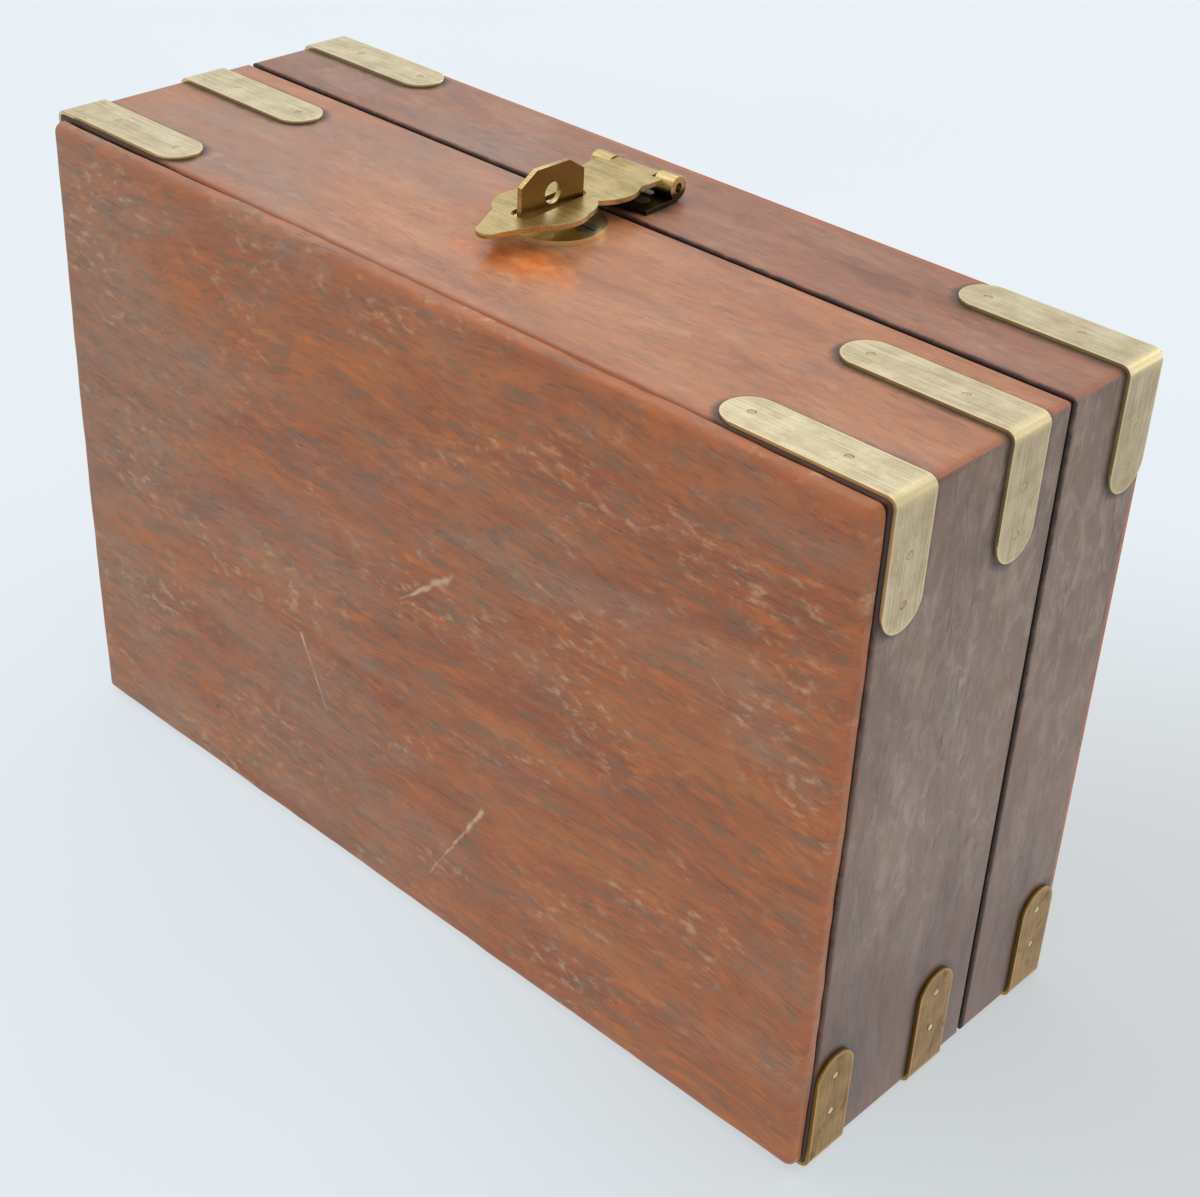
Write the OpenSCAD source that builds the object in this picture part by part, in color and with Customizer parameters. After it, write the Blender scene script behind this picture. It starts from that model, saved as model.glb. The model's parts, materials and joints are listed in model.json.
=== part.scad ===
// Small hardwood writing box with brass corner straps, a hasp and a sloping board inside.
// It lies on its base, with the hasp to the front (-Y), the hinges to the back and +Z up.
// The origin is the middle of the underside of the base board.

/* [Case] */
// Length of the case over its wooden ends
case_l = 254; // [225:1:320]
// Width of the case over its front and back walls
case_w = 168.5; // [155:0.5:220]
// Height of the top of the base walls above the rest face
base_h = 62; // [60:0.5:80]
// Height of the lid from the lower edge of its walls to its top
lid_h = 33.7; // [32:0.1:50]
// Open seam between the base walls and the lid walls
seam_gap = 1.3; // [0.8:0.1:1.8]
// Thickness of every outer wall
wall_t = 9; // [8.5:0.5:12]
// Radius of the upright corners of the case
corner_r = 1.6; // [1:0.1:2.5]
// Radius worn on the long outer edges of the walls
edge_r = 0.9; // [0.4:0.1:1.4]

/* [Boards] */
// Thickness of the base board
base_board_t = 4; // [3.8:0.1:6]
// How far the base board stops short of the front wall face
base_inset_front = 1.7; // [0.5:0.1:5]
// How far the base board stops short of the back wall face
base_inset_back = 0.5; // [0.2:0.1:4]
// How far the base board stops short of each end face
base_inset_end = 1.2; // [0.2:0.1:4]
// Round of the base board's lower edges
base_edge_r = 2.8; // [1:0.1:3.2]
// Round of the base board's corners in plan
base_corner_r = 3.5; // [2:0.1:6]
// Thickness of the lid board where it lies on the walls
lid_board_t = 2.5; // [2:0.1:4]
// Depth of the lid board's tongue between the walls
lid_tongue_t = 2.5; // [1.5:0.1:4]
// How far the lid board stops short of the wall faces
lid_board_inset = 0.7; // [0.2:0.1:2]
// Play round the tongue of the lid board
tongue_play = 0.2; // [0.1:0.05:0.5]

/* [Corner straps] */
// Width of the brass strip
strap_w = 12.4; // [10:0.1:14]
// Thickness of the brass strip
strap_t = 0.9; // [0.6:0.1:1.5]
// Reach of a strap along the front or back from the corner
strap_long = 44.4; // [34:0.1:50]
// Reach of a strap along an end from the corner
strap_short = 30; // [26:0.1:36]
// Height of the lower straps above the underside of the walls
lower_strap_rise = 0.4; // [0.2:0.1:3]
// Distance from the upper straps to the top of the base walls
upper_strap_drop = 8.5; // [4:0.1:14]
// Distance from the lid straps to the top of the lid walls
lid_strap_drop = 0.4; // [0.2:0.1:4]
// Diameter of the strap pins
strap_pin_d = 1.8; // [1.2:0.1:2.5]
// Depth of the strap pins in the wood
strap_pin_depth = 5; // [3:0.1:6]
// Distance of the inner pin from the corner on a long leg
long_pin_in = 15; // [12:0.1:20]
// Distance of the inner pin from the corner on a short leg
short_pin_in = 13; // [12:0.1:15]

/* [Lid hinges] */
// Width of a hinge along the back edge
hinge_w = 32; // [26:1:40]
// Distance of each hinge from the middle of the box
hinge_x = 58; // [30:1:62]
// Thickness of a hinge leaf
leaf_t = 1.2; // [1:0.1:1.5]
// Reach of a leaf from the back face into the edge of the wall
leaf_reach = 7; // [6:0.1:8]
// Outside radius of the hinge knuckles
knuckle_r = 2.2; // [2:0.1:3]
// Radius of the hinge pins
hinge_pin_r = 1.1; // [0.9:0.05:1.4]
// Play between the hinge axis and the straps' faces, so that the lid folds flat back
hinge_play = 0.2; // [0.15:0.05:0.5]

/* [Hasp] */
// Place of the hasp's knuckle along the front
hasp_x = -2.3; // [-10:0.1:10]
// Height of the hasp's pin above the lower edge of the lid walls
hasp_rise = 13.7; // [13.5:0.1:16]
// How far the hasp hangs out of square
hasp_skew = 5; // [0:0.5:6]
// Thickness of the hasp plates
hasp_t = 1.2; // [1:0.1:1.5]
// Radius of the two outer loops
hasp_loop_r = 2.9; // [2.7:0.1:3.1]
// Radius of the knuckle curled under the swinging plate
hasp_knuckle_r = 2.4; // [2.3:0.1:2.6]
// Radius of the hasp's pin
hasp_pin_r = 1.1; // [0.9:0.05:1.2]
// Distance of the hasp's pin from the wall
hasp_out = 3.3; // [3.2:0.1:3.8]
// Width over the two loops
hasp_w = 24; // [22:0.5:27]
// Width of each outer loop
hasp_loop_w = 5.4; // [4:0.1:6]
// Drop of the fixed leaf below the pin
hasp_leaf_drop = 12; // [11:0.1:12.4]
// Distance from the pin to the tip of the finger
hasp_reach = 55; // [52:0.5:60]
// Radius of the finger tip
hasp_tip_r = 3; // [2.5:0.1:4]
// Radius of the round lobe near the pin
hasp_small_lobe_r = 10.4; // [9:0.1:11]
// Distance of the small lobe from the pin
hasp_small_lobe_at = 15.6; // [15:0.1:17]
// Radius of the wide lobe that holds the slot
hasp_wide_lobe_r = 11; // [10:0.1:12]
// Distance of the wide lobe from the pin
hasp_wide_lobe_at = 34.6; // [33:0.1:36]
// Width of the slot
slot_w = 5.8; // [5.4:0.1:7]
// Play of the slot past each end of the staple
slot_play = 1.4; // [1.2:0.1:2]

/* [Staple] */
// Place of the staple along the front
staple_x = 1; // [0.5:0.1:1.5]
// Distance of the staple's middle below the hasp's pin
staple_drop = 31.9; // [31:0.1:33]
// Length of the staple's upright plate
staple_l = 19.5; // [17:0.1:20]
// Height of the upright plate from the wall
staple_h = 14.8; // [13:0.1:16]
// Thickness of the upright plate
staple_t = 1.3; // [1:0.1:1.6]
// Length of the cropped corners along the plate
staple_crop_l = 4.7; // [2:0.1:6]
// Height of the cropped corners
staple_crop_h = 3; // [2:0.1:3.4]
// Radius of the eye for the padlock
eye_r = 2.5; // [2:0.05:2.6]
// Clearance of the eye over the closed hasp
eye_play = 0.2; // [0.1:0.05:0.5]
// Radius of the round foot
foot_r = 11.6; // [10:0.1:12.5]
// Thickness of the round foot
foot_t = 1.2; // [1:0.1:1.6]
// Rise of the foot's middle over the upright plate's middle
foot_rise = 1.8; // [0:0.1:2.5]

/* [Screws] */
// Radius of the screw heads on the hinges
small_head_r = 1.9; // [1.6:0.1:2.2]
// Radius of the screw heads on the hasp and the staple
big_head_r = 2.6; // [2:0.1:2.8]
// Radius of every screw's shank
shank_r = 1; // [0.8:0.05:1.2]
// Depth of every screw in the wood
screw_depth = 6; // [4:0.1:7]
// Width of the slots in the screw heads
screw_slot_w = 0.6; // [0.4:0.05:0.8]
// Depth of the slots in the screw heads
screw_slot_d = 0.4; // [0.3:0.05:0.6]

/* [Inside] */
// Height of the divider's top above the rest face
divider_top = 53; // [46:0.5:54]
// Thickness of the divider behind the writing board
divider_t = 7; // [7:0.5:10]
// Clear depth of the trough behind the divider
trough_d = 34; // [28:0.5:40]
// Clear width of each ink space
ink_w = 38; // [25:0.5:50]
// Thickness of the partitions beside the ink spaces
partition_t = 5; // [3:0.5:8]
// Width of the cleats under the pen tray
cleat_w = 5; // [3:0.5:8]
// Height of the cleats under the pen tray
cleat_h = 7; // [4:0.5:10]
// Height of the pen tray
tray_h = 19; // [17:0.5:22]
// Depth of the pen tray's scoop
scoop_d = 13.5; // [8:0.5:14]
// Thickness of the tray's rim beside its scoop
tray_rim = 3; // [2:0.5:5]
// Play round the pen tray
tray_play = 0.5; // [0.3:0.1:1]

/* [Writing board] */
// Slope of the writing board
slope = 16; // [12:0.5:18]
// Thickness of the writing board
board_t = 6; // [5:0.5:8]
// Play at each end of the writing board
board_side_play = 0.6; // [0.4:0.1:1.5]
// Play of the board's front edge as it swings past the front wall
board_swing_play = 0.8; // [0.5:0.1:2]
// Outside radius of the board hinge's knuckles
board_knuckle_r = 1.9; // [1.7:0.1:2.2]
// Radius of the board hinge's pins
board_pin_r = 0.9; // [0.7:0.05:1.1]
// Thickness of the board hinge's leaves
board_leaf_t = 1; // [0.8:0.1:1.2]
// Width of a board hinge
board_hinge_w = 26; // [20:1:32]
// Distance of each board hinge from the middle
board_hinge_x = 70; // [50:1:80]
// Length of the board hinge's leaf on the board
board_leaf_l = 8; // [6:0.5:10]
// Bare margin of the board round the baize
baize_margin = 9; // [5:0.5:14]
// Thickness of the baize
baize_t = 0.8; // [0.5:0.1:1.2]
// Width of the ledges under the board
ledge_w = 7; // [5:0.5:10]
// Height of the ledges under the board
ledge_h = 8; // [6:0.5:10]

/* [Hidden] */
$fn = 48;

// Gap that the two leaves of a closed lid hinge leave between them
leaf_gap = 0.3;
// Side play round leaves let into the wood, and of the knuckles beside each other
fit = 0.2;
// Radial clearance of every hinge pin in its knuckles
pin_play = 0.05;
// Radial clearance of pins and screws in the pieces that they hold
hold_play = 0.02;
// Room that the wood leaves round a knuckle
knuckle_room = 0.4;
// Gap under a loose piece on its ledges
rest_gap = 0.1;
// Overshoot of a cut past the face that it opens
over = 1;
// Distance of the mitres from the outer corners, which keeps their thin ends off the worn rounding
mitre_step = 0.4;
// Wood left at the blind end of a leaf bed
skin = 1;
// Drop of the pen tray's top below the divider's top
tray_drop = 1;
// Bare wood between the board hinge's leaves and the baize
baize_back_gap = 3;
// Screw places, as shares of the width or radius of the piece that they hold
hinge_screw_share = 0.32;
hasp_screw_share = 0.3;
hasp_screw_drop_share = 0.6;
foot_screw_share = 0.62;
foot_screw_rise_share = 0.2;
board_screw_share = 0.3;
// Radius of the board's screws, and their depth as a share of its thickness
board_shank_r = 0.7;
board_screw_depth_share = 0.7;
// Where the hasp's outline leaves its lobes, as shares of their radii
neck_share = 0.62;
neck_drop_share = 0.8;
waist_share = 0.84;
// Half of the hasp's top edge, as a share of its width over the loops
top_share = 0.4;
// Distance between the two rounds of each lobe, and how much smaller the second round is
lobe_stretch = 4;
lobe_taper = 1;

half_l = case_l / 2;
half_w = case_w / 2;
inner_l = half_l - wall_t;
inner_w = half_w - wall_t;
lid_z = base_h + seam_gap;
top_z = lid_z + lid_h;
lid_wall_top = top_z - lid_board_t;
seam_z = base_h + seam_gap / 2;
lower_strap_z = base_board_t + lower_strap_rise;
upper_strap_z = base_h - upper_strap_drop - strap_w;
lid_strap_z = lid_wall_top - lid_strap_drop - strap_w;
base_strap_levels = [lower_strap_z, upper_strap_z];
lid_strap_levels = [lid_strap_z];

hinge_out = strap_t + hinge_play;
hinge_y = half_w + hinge_out;
leaf_low = leaf_gap / 2 + leaf_t;
hasp_y = -half_w - hasp_out;
hasp_z = lid_z + hasp_rise;
hasp_bore_half = hasp_w / 2 - hasp_loop_w;
plate_face = hasp_out + hasp_knuckle_r;
staple_z = hasp_z - staple_drop;
eye_h = plate_face + eye_play + eye_r;
// Farthest point of the staple from the hasp's pin, and the nearest edge, in the pin's plane
staple_far = norm([staple_drop + staple_l / 2, staple_h - staple_crop_h - hasp_out]);
slot_far = staple_far + slot_play / 2;
slot_near = staple_drop - staple_l / 2 - slot_play;

divider_back = inner_w - trough_d;
divider_front = divider_back - divider_t;
partition_x = inner_l - ink_w;
tray_x = partition_x - partition_t;
board_gap = board_knuckle_r + knuckle_room;
board_axis_y = divider_front - board_gap;
board_axis_z = divider_top + board_leaf_t / 2;
board_top = -board_leaf_t / 2;
board_half = inner_l - board_side_play;
swing_r = board_axis_y + inner_w - board_swing_play;
board_end = sqrt(pow(swing_r, 2) - pow(board_t - board_top, 2));
tray_top = divider_top - tray_drop;
tray_low = tray_top - tray_h;
cleat_top = tray_low - rest_gap;
board_under = board_top - board_t - rest_gap;

wood = "saddlebrown";
dark_wood = "sienna";
brass = "darkkhaki";
steel = "slategray";

// Waste outside a quarter round of radius r whose corner is at the origin
module corner_waste(r) {
  difference() {
    translate([-over, -over]) square(r + over);
    translate([r, r]) circle(r);
  }
}

// Rectangle w by t, centred in w, with its two lower and two upper corners rounded
module rounded_bar(w, t, low_r, high_r) {
  difference() {
    translate([-w / 2, 0]) square([w, t]);
    for (side = [-1, 1]) {
      translate([side * w / 2, 0]) mirror([side > 0 ? 1 : 0, 0]) corner_waste(low_r);
      translate([side * w / 2, t]) mirror([side > 0 ? 1 : 0, 0]) mirror([0, 1]) corner_waste(high_r);
    }
  }
}

// Block l by w by h on the XY plane, with upright corners and long edges rounded
module soft_block(l, w, h, plan_r, low_r, high_r) {
  intersection() {
    translate([0, -w / 2, 0]) linear_extrude(h) rounded_bar(l, w, plan_r, plan_r);
    rotate([90, 0, 90]) translate([0, 0, -l / 2 - over]) linear_extrude(l + 2 * over)
      rounded_bar(w, h, low_r, high_r);
    rotate([90, 0, 0]) translate([0, 0, -w / 2 - over]) linear_extrude(w + 2 * over)
      rounded_bar(l, h, low_r, high_r);
  }
}

// Plan of one mitred wall on the front (side -1) or the back (side 1)
module long_wall_plan(side) {
  polygon([
    [-half_l, side * half_w], [half_l, side * half_w],
    [half_l, side * (half_w - mitre_step)], [inner_l, side * inner_w],
    [-inner_l, side * inner_w], [-half_l, side * (half_w - mitre_step)]
  ]);
}

// Plan of one mitred wall on the left (side -1) or the right (side 1)
module end_wall_plan(side) {
  polygon([
    [side * half_l, mitre_step - half_w], [side * half_l, half_w - mitre_step],
    [side * inner_l, inner_w], [side * inner_l, -inner_w]
  ]);
}

// One wall from low to high, cut by its mitred plan out of the rounded case
module wall_between(low, high) {
  intersection() {
    translate([0, 0, low]) linear_extrude(high - low) children();
    translate([0, 0, low]) soft_block(case_l, case_w, high - low, corner_r, edge_r, edge_r);
  }
}

// Strip from the origin along +X with a round end, width up +Z and thickness along +Y
module strap_leg(reach) {
  translate([0, strap_t, 0]) rotate([90, 0, 0]) linear_extrude(strap_t) {
    square([reach - strap_w / 2, strap_w]);
    translate([reach - strap_w / 2, strap_w / 2]) circle(strap_w / 2);
  }
}

// Children at each pin of one strap's long leg, with +Z out of the wood
module at_long_pins(side_x, side_y, level) {
  for (from_corner = [long_pin_in, strap_long - strap_w / 2])
    translate([side_x * (half_l - from_corner), side_y * half_w, level + strap_w / 2])
      rotate([-side_y * 90, 0, 0]) children();
}

// Children at each pin of one strap's short leg, with +Z out of the wood
module at_short_pins(side_x, side_y, level) {
  for (from_corner = [short_pin_in, strap_short - strap_w / 2])
    translate([side_x * half_l, side_y * (half_w - from_corner), level + strap_w / 2])
      rotate([0, side_x * 90, 0]) children();
}

// Hole for a strap pin, and the pin itself with play set to nothing
module strap_pin_round(play) {
  translate([0, 0, -strap_pin_depth]) cylinder(r = strap_pin_d / 2 + play, h = strap_pin_depth + strap_t);
}

// One brass strap round the upright corner on side_x and side_y
module corner_strap(side_x, side_y, level) {
  color(brass) difference() {
    mirror([side_x < 0 ? 1 : 0, 0, 0]) mirror([0, side_y < 0 ? 1 : 0, 0])
      translate([half_l - corner_r, half_w - corner_r, level]) {
        translate([0, corner_r, 0]) mirror([1, 0, 0]) strap_leg(strap_long - corner_r);
        translate([corner_r, 0, 0]) rotate([0, 0, -90]) strap_leg(strap_short - corner_r);
        rotate_extrude(angle = 90) translate([corner_r, 0]) square([strap_t, strap_w]);
      }
    at_long_pins(side_x, side_y, level) strap_pin_round(hold_play);
    at_short_pins(side_x, side_y, level) strap_pin_round(hold_play);
  }
}

// Pin holes of the straps at the given levels in one long wall
module long_wall_pin_holes(side_y, levels) {
  for (side_x = [-1, 1], level = levels) at_long_pins(side_x, side_y, level) strap_pin_round(hold_play);
}

// Pin holes of the straps at the given levels in one end wall
module end_wall_pin_holes(side_x, levels) {
  for (side_y = [-1, 1], level = levels) at_short_pins(side_x, side_y, level) strap_pin_round(hold_play);
}

// All pins of the straps at the given levels
module strap_pins(levels) {
  color(brass) for (side_x = [-1, 1], side_y = [-1, 1], level = levels) {
    at_long_pins(side_x, side_y, level) strap_pin_round(0);
    at_short_pins(side_x, side_y, level) strap_pin_round(0);
  }
}

// Countersunk screw that points down -Z with its head's face at the origin.
// With play it is the hole for one, which opens past that face.
module screw(head_r, play = 0) {
  head_h = head_r - shank_r;
  rise = play > 0 ? fit : 0;
  difference() {
    union() {
      translate([0, 0, -head_h]) cylinder(r1 = shank_r + play, r2 = head_r + play + rise, h = head_h + rise);
      translate([0, 0, -screw_depth]) cylinder(r = shank_r + play, h = screw_depth - head_h / 2);
    }
    if (play == 0)
      translate([-head_r - over, -screw_slot_w / 2, -screw_slot_d])
        cube([2 * (head_r + over), screw_slot_w, screw_slot_d + over]);
  }
}

// Leaf of a butt hinge: the axis is along X, the plate lies under it and runs to -Y.
// The knuckles fill the given X spans.
module butt_leaf(w, plate_end, low, high, r, room, pin, spans) {
  difference() {
    union() {
      translate([-w / 2, -plate_end, low]) cube([w, plate_end - r - room, high - low]);
      for (span = spans) translate([span[0], 0, 0]) {
        translate([0, -r - room - fit, low]) cube([span[1] - span[0], r + room + fit, high - low]);
        rotate([0, 90, 0]) cylinder(r = r, h = span[1] - span[0]);
      }
    }
    translate([-w / 2 - over, 0, 0]) rotate([0, 90, 0]) cylinder(r = pin + pin_play, h = w + 2 * over);
  }
}

// X spans of the two outer knuckles and of the middle one
function outer_spans(w) = [[-w / 2, -w / 5 - fit], [w / 5 + fit, w / 2]];
function middle_span(w) = [[-w / 5, w / 5]];

// Children at the two screw places of a lid hinge leaf
module at_hinge_screws() {
  for (side = [-1, 1]) translate([side * hinge_w * hinge_screw_share, -hinge_out - leaf_reach / 2 - fit, 0]) children();
}

// Lid hinge parts on side -1 or 1, at the hinge axis
module at_hinge(side) {
  translate([side * hinge_x, hinge_y, seam_z]) children();
}

module hinge_leaf(spans) {
  difference() {
    butt_leaf(hinge_w, hinge_out + leaf_reach, -leaf_low, -leaf_gap / 2, knuckle_r, knuckle_room, hinge_pin_r, spans);
    at_hinge_screws() translate([0, 0, -leaf_gap / 2]) screw(small_head_r, hold_play);
  }
}

// Room in the back edge of the base for both hinges: leaf bed, knuckles and screws
module hinge_rooms() {
  for (side = [-1, 1]) at_hinge(side) {
    translate([-hinge_w / 2 - fit, -hinge_out - leaf_reach - fit, -leaf_low])
      cube([hinge_w + 2 * fit, hinge_out + leaf_reach + fit + over, leaf_low]);
    translate([-hinge_w / 2 - fit, 0, 0]) rotate([0, 90, 0])
      cylinder(r = knuckle_r + knuckle_room, h = hinge_w + 2 * fit);
    at_hinge_screws() translate([0, 0, -leaf_gap / 2]) screw(small_head_r, hold_play);
  }
}

// Children turned over from the base side of the seam to the lid side
module lid_side() {
  translate([0, 0, seam_z]) mirror([0, 0, 1]) translate([0, 0, -seam_z]) children();
}

// Children in the hasp's own frame: pin along X, plate hanging down, +Y to the wall
module at_hasp() {
  translate([hasp_x, hasp_y, hasp_z]) rotate([0, -hasp_skew, 0]) children();
}

// Plate seen from the front, drawn in XZ and from near to far in Y
module hasp_sheet(near, far) {
  translate([0, far, 0]) rotate([90, 0, 0]) linear_extrude(far - near) children();
}

// Children at the screws of the fixed leaf, with +Z out of the wood
module at_hasp_screws() {
  for (side = [-1, 1])
    translate([side * hasp_w * hasp_screw_share, hasp_out - hasp_t, -hasp_leaf_drop * hasp_screw_drop_share])
      rotate([90, 0, 0]) children();
}

module hasp_plate_outline() {
  neck_half = hasp_wide_lobe_r * neck_share;
  neck_z = -hasp_wide_lobe_at - hasp_wide_lobe_r * neck_drop_share;
  waist_half = hasp_small_lobe_r * waist_share;
  waist_z = lobe_stretch - hasp_small_lobe_at;
  top_half = hasp_w * top_share;
  shoulder = hasp_loop_r + knuckle_room;
  translate([0, -hasp_small_lobe_at]) circle(hasp_small_lobe_r);
  translate([0, -hasp_wide_lobe_at]) circle(hasp_wide_lobe_r);
  translate([0, lobe_stretch - hasp_wide_lobe_at]) circle(hasp_wide_lobe_r - lobe_taper);
  translate([0, hasp_tip_r - hasp_reach]) circle(hasp_tip_r);
  polygon([
    [-hasp_tip_r, hasp_tip_r - hasp_reach], [hasp_tip_r, hasp_tip_r - hasp_reach],
    [neck_half, neck_z], [-neck_half, neck_z]
  ]);
  polygon([
    [-waist_half, waist_z], [waist_half, waist_z],
    [top_half, -shoulder], [-top_half, -shoulder]
  ]);
}

module slot_outline() {
  r = slot_w / 2;
  translate([-r, -slot_far + r]) square([slot_w, slot_far - slot_near - slot_w]);
  translate([0, -slot_far + r]) circle(r);
  translate([0, -slot_near - r]) circle(r);
}

// Children at the staple's middle on the wall, with +Z up and -Y out
module at_staple() {
  translate([staple_x, -half_w, staple_z]) children();
}

// Children at the screws of the staple's foot, with +Z out of the wood
module at_staple_screws() {
  for (side = [-1, 1])
    translate([side * foot_r * foot_screw_share, -foot_t, foot_rise + foot_r * foot_screw_rise_share])
      rotate([90, 0, 0]) children();
}

// Children in the writing board's frame: hinge axis along X, board running to -Y
module on_slope() {
  translate([0, board_axis_y, board_axis_z]) rotate([slope, 0, 0]) children();
}

// Children at each board hinge's middle along X
module at_board_hinges() {
  for (side = [-1, 1]) translate([side * board_hinge_x, 0, 0]) children();
}

// Children at the screws of a board hinge leaf, on its upper face
module at_board_screws() {
  at_board_hinges() for (side = [-1, 1])
    translate([side * board_hinge_w * board_screw_share, -board_gap - board_leaf_l / 2, 0]) children();
}

// Room for the board hinge's leaf in the face of the wood, plate_end from the axis
module board_leaf_bed(plate_end) {
  at_board_hinges() translate([-board_hinge_w / 2 - fit, -plate_end - fit, -board_leaf_t / 2 - board_leaf_t])
    cube([board_hinge_w + 2 * fit, plate_end + fit + over, board_leaf_t + over]);
}

// Small screw of the board hinges, shorter than the board is thick
module board_screw(play = 0) {
  head_r = board_leaf_t + board_shank_r;
  reach = board_t * board_screw_depth_share;
  rise = play > 0 ? fit : 0;
  translate([0, 0, -board_leaf_t / 2]) {
    translate([0, 0, -board_leaf_t])
      cylinder(r1 = board_shank_r + play, r2 = head_r + play + rise, h = board_leaf_t + rise);
    translate([0, 0, -reach]) cylinder(r = board_shank_r + play, h = reach - board_leaf_t / 2);
  }
}

// The fixed leaves lie behind the axis on the divider, so they are turned round
module divider_side() {
  translate([0, board_axis_y, board_axis_z]) mirror([0, 1, 0]) children();
}

// Sloping ledge bar across the whole inside, cut to the given box
module ledge_in(low, size) {
  intersection() {
    translate(low) cube(size);
    on_slope() translate([-half_l, -case_w, board_under - ledge_h]) cube([case_l, 2 * case_w, ledge_h]);
  }
}

module base_board() {
  board_w = case_w - base_inset_front - base_inset_back;
  color(wood) translate([0, (base_inset_front - base_inset_back) / 2, 0])
    soft_block(case_l - 2 * base_inset_end, board_w, base_board_t, base_corner_r, base_edge_r, edge_r / 2);
}

module base_front_wall() {
  color(wood) difference() {
    wall_between(base_board_t, base_h) long_wall_plan(-1);
    long_wall_pin_holes(-1, base_strap_levels);
    at_staple() at_staple_screws() screw(big_head_r, hold_play);
  }
}

module base_back_wall() {
  color(wood) difference() {
    wall_between(base_board_t, base_h) long_wall_plan(1);
    long_wall_pin_holes(1, base_strap_levels);
    hinge_rooms();
  }
}

module base_end(side) {
  color(wood) difference() {
    wall_between(base_board_t, base_h) end_wall_plan(side);
    end_wall_pin_holes(side, base_strap_levels);
  }
}

module base_left_end() {
  base_end(-1);
}

module base_right_end() {
  base_end(1);
}

module lid_board() {
  color(wood) {
    translate([0, 0, lid_wall_top])
      soft_block(case_l - 2 * lid_board_inset, case_w - 2 * lid_board_inset, lid_board_t, corner_r, edge_r / 2, edge_r);
    translate([tongue_play - inner_l, tongue_play - inner_w, lid_wall_top - lid_tongue_t])
      cube([2 * (inner_l - tongue_play), 2 * (inner_w - tongue_play), lid_tongue_t + lid_board_t / 2]);
  }
}

module lid_front_wall() {
  color(wood) difference() {
    wall_between(lid_z, lid_wall_top) long_wall_plan(-1);
    long_wall_pin_holes(-1, lid_strap_levels);
    at_hasp() at_hasp_screws() screw(small_head_r, hold_play);
  }
}

module lid_back_wall() {
  color(wood) difference() {
    wall_between(lid_z, lid_wall_top) long_wall_plan(1);
    long_wall_pin_holes(1, lid_strap_levels);
    lid_side() hinge_rooms();
  }
}

module lid_end(side) {
  color(wood) difference() {
    wall_between(lid_z, lid_wall_top) end_wall_plan(side);
    end_wall_pin_holes(side, lid_strap_levels);
  }
}

module lid_left_end() {
  lid_end(-1);
}

module lid_right_end() {
  lid_end(1);
}

module lower_strap_front_left() {
  corner_strap(-1, -1, lower_strap_z);
}

module lower_strap_front_right() {
  corner_strap(1, -1, lower_strap_z);
}

module lower_strap_back_left() {
  corner_strap(-1, 1, lower_strap_z);
}

module lower_strap_back_right() {
  corner_strap(1, 1, lower_strap_z);
}

module upper_strap_front_left() {
  corner_strap(-1, -1, upper_strap_z);
}

module upper_strap_front_right() {
  corner_strap(1, -1, upper_strap_z);
}

module upper_strap_back_left() {
  corner_strap(-1, 1, upper_strap_z);
}

module upper_strap_back_right() {
  corner_strap(1, 1, upper_strap_z);
}

module lid_strap_front_left() {
  corner_strap(-1, -1, lid_strap_z);
}

module lid_strap_front_right() {
  corner_strap(1, -1, lid_strap_z);
}

module lid_strap_back_left() {
  corner_strap(-1, 1, lid_strap_z);
}

module lid_strap_back_right() {
  corner_strap(1, 1, lid_strap_z);
}

module base_strap_pins() {
  strap_pins(base_strap_levels);
}

module lid_strap_pins() {
  strap_pins(lid_strap_levels);
}

module left_hinge_base_leaf() {
  color(brass) at_hinge(-1) hinge_leaf(outer_spans(hinge_w));
}

module right_hinge_base_leaf() {
  color(brass) at_hinge(1) hinge_leaf(outer_spans(hinge_w));
}

module left_hinge_lid_leaf() {
  color(brass) lid_side() at_hinge(-1) hinge_leaf(middle_span(hinge_w));
}

module right_hinge_lid_leaf() {
  color(brass) lid_side() at_hinge(1) hinge_leaf(middle_span(hinge_w));
}

module hinge_pin(side) {
  color(brass) at_hinge(side) translate([-hinge_w / 2, 0, 0]) rotate([0, 90, 0]) cylinder(r = hinge_pin_r, h = hinge_w);
}

module left_hinge_pin() {
  hinge_pin(-1);
}

module right_hinge_pin() {
  hinge_pin(1);
}

module base_hinge_screws() {
  color(brass) for (side = [-1, 1])
    at_hinge(side) at_hinge_screws() translate([0, 0, -leaf_gap / 2]) screw(small_head_r);
}

module lid_hinge_screws() {
  lid_side() base_hinge_screws();
}

module hasp_leaf() {
  color(brass) at_hasp() difference() {
    union() {
      hasp_sheet(hasp_out - hasp_t, hasp_out)
        translate([-hasp_w / 2, -hasp_leaf_drop]) square([hasp_w, hasp_leaf_drop - hasp_loop_r - knuckle_room]);
      for (low = [-hasp_w / 2, hasp_bore_half]) translate([low, 0, 0]) {
        rotate([0, 90, 0]) cylinder(r = hasp_loop_r, h = hasp_loop_w);
        translate([0, hasp_out - hasp_t, -hasp_loop_r - knuckle_room - fit])
          cube([hasp_loop_w, hasp_t, hasp_loop_r + knuckle_room + fit]);
      }
    }
    translate([-hasp_w, 0, 0]) rotate([0, 90, 0]) cylinder(r = hasp_pin_r + pin_play, h = 2 * hasp_w);
    at_hasp_screws() screw(small_head_r, hold_play);
  }
}

module hasp_pin() {
  color(brass) at_hasp() translate([over - hasp_w / 2, 0, 0]) rotate([0, 90, 0])
    cylinder(r = hasp_pin_r, h = hasp_w - 2 * over);
}

module hasp_screws() {
  color(steel) at_hasp() at_hasp_screws() screw(small_head_r);
}

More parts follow.
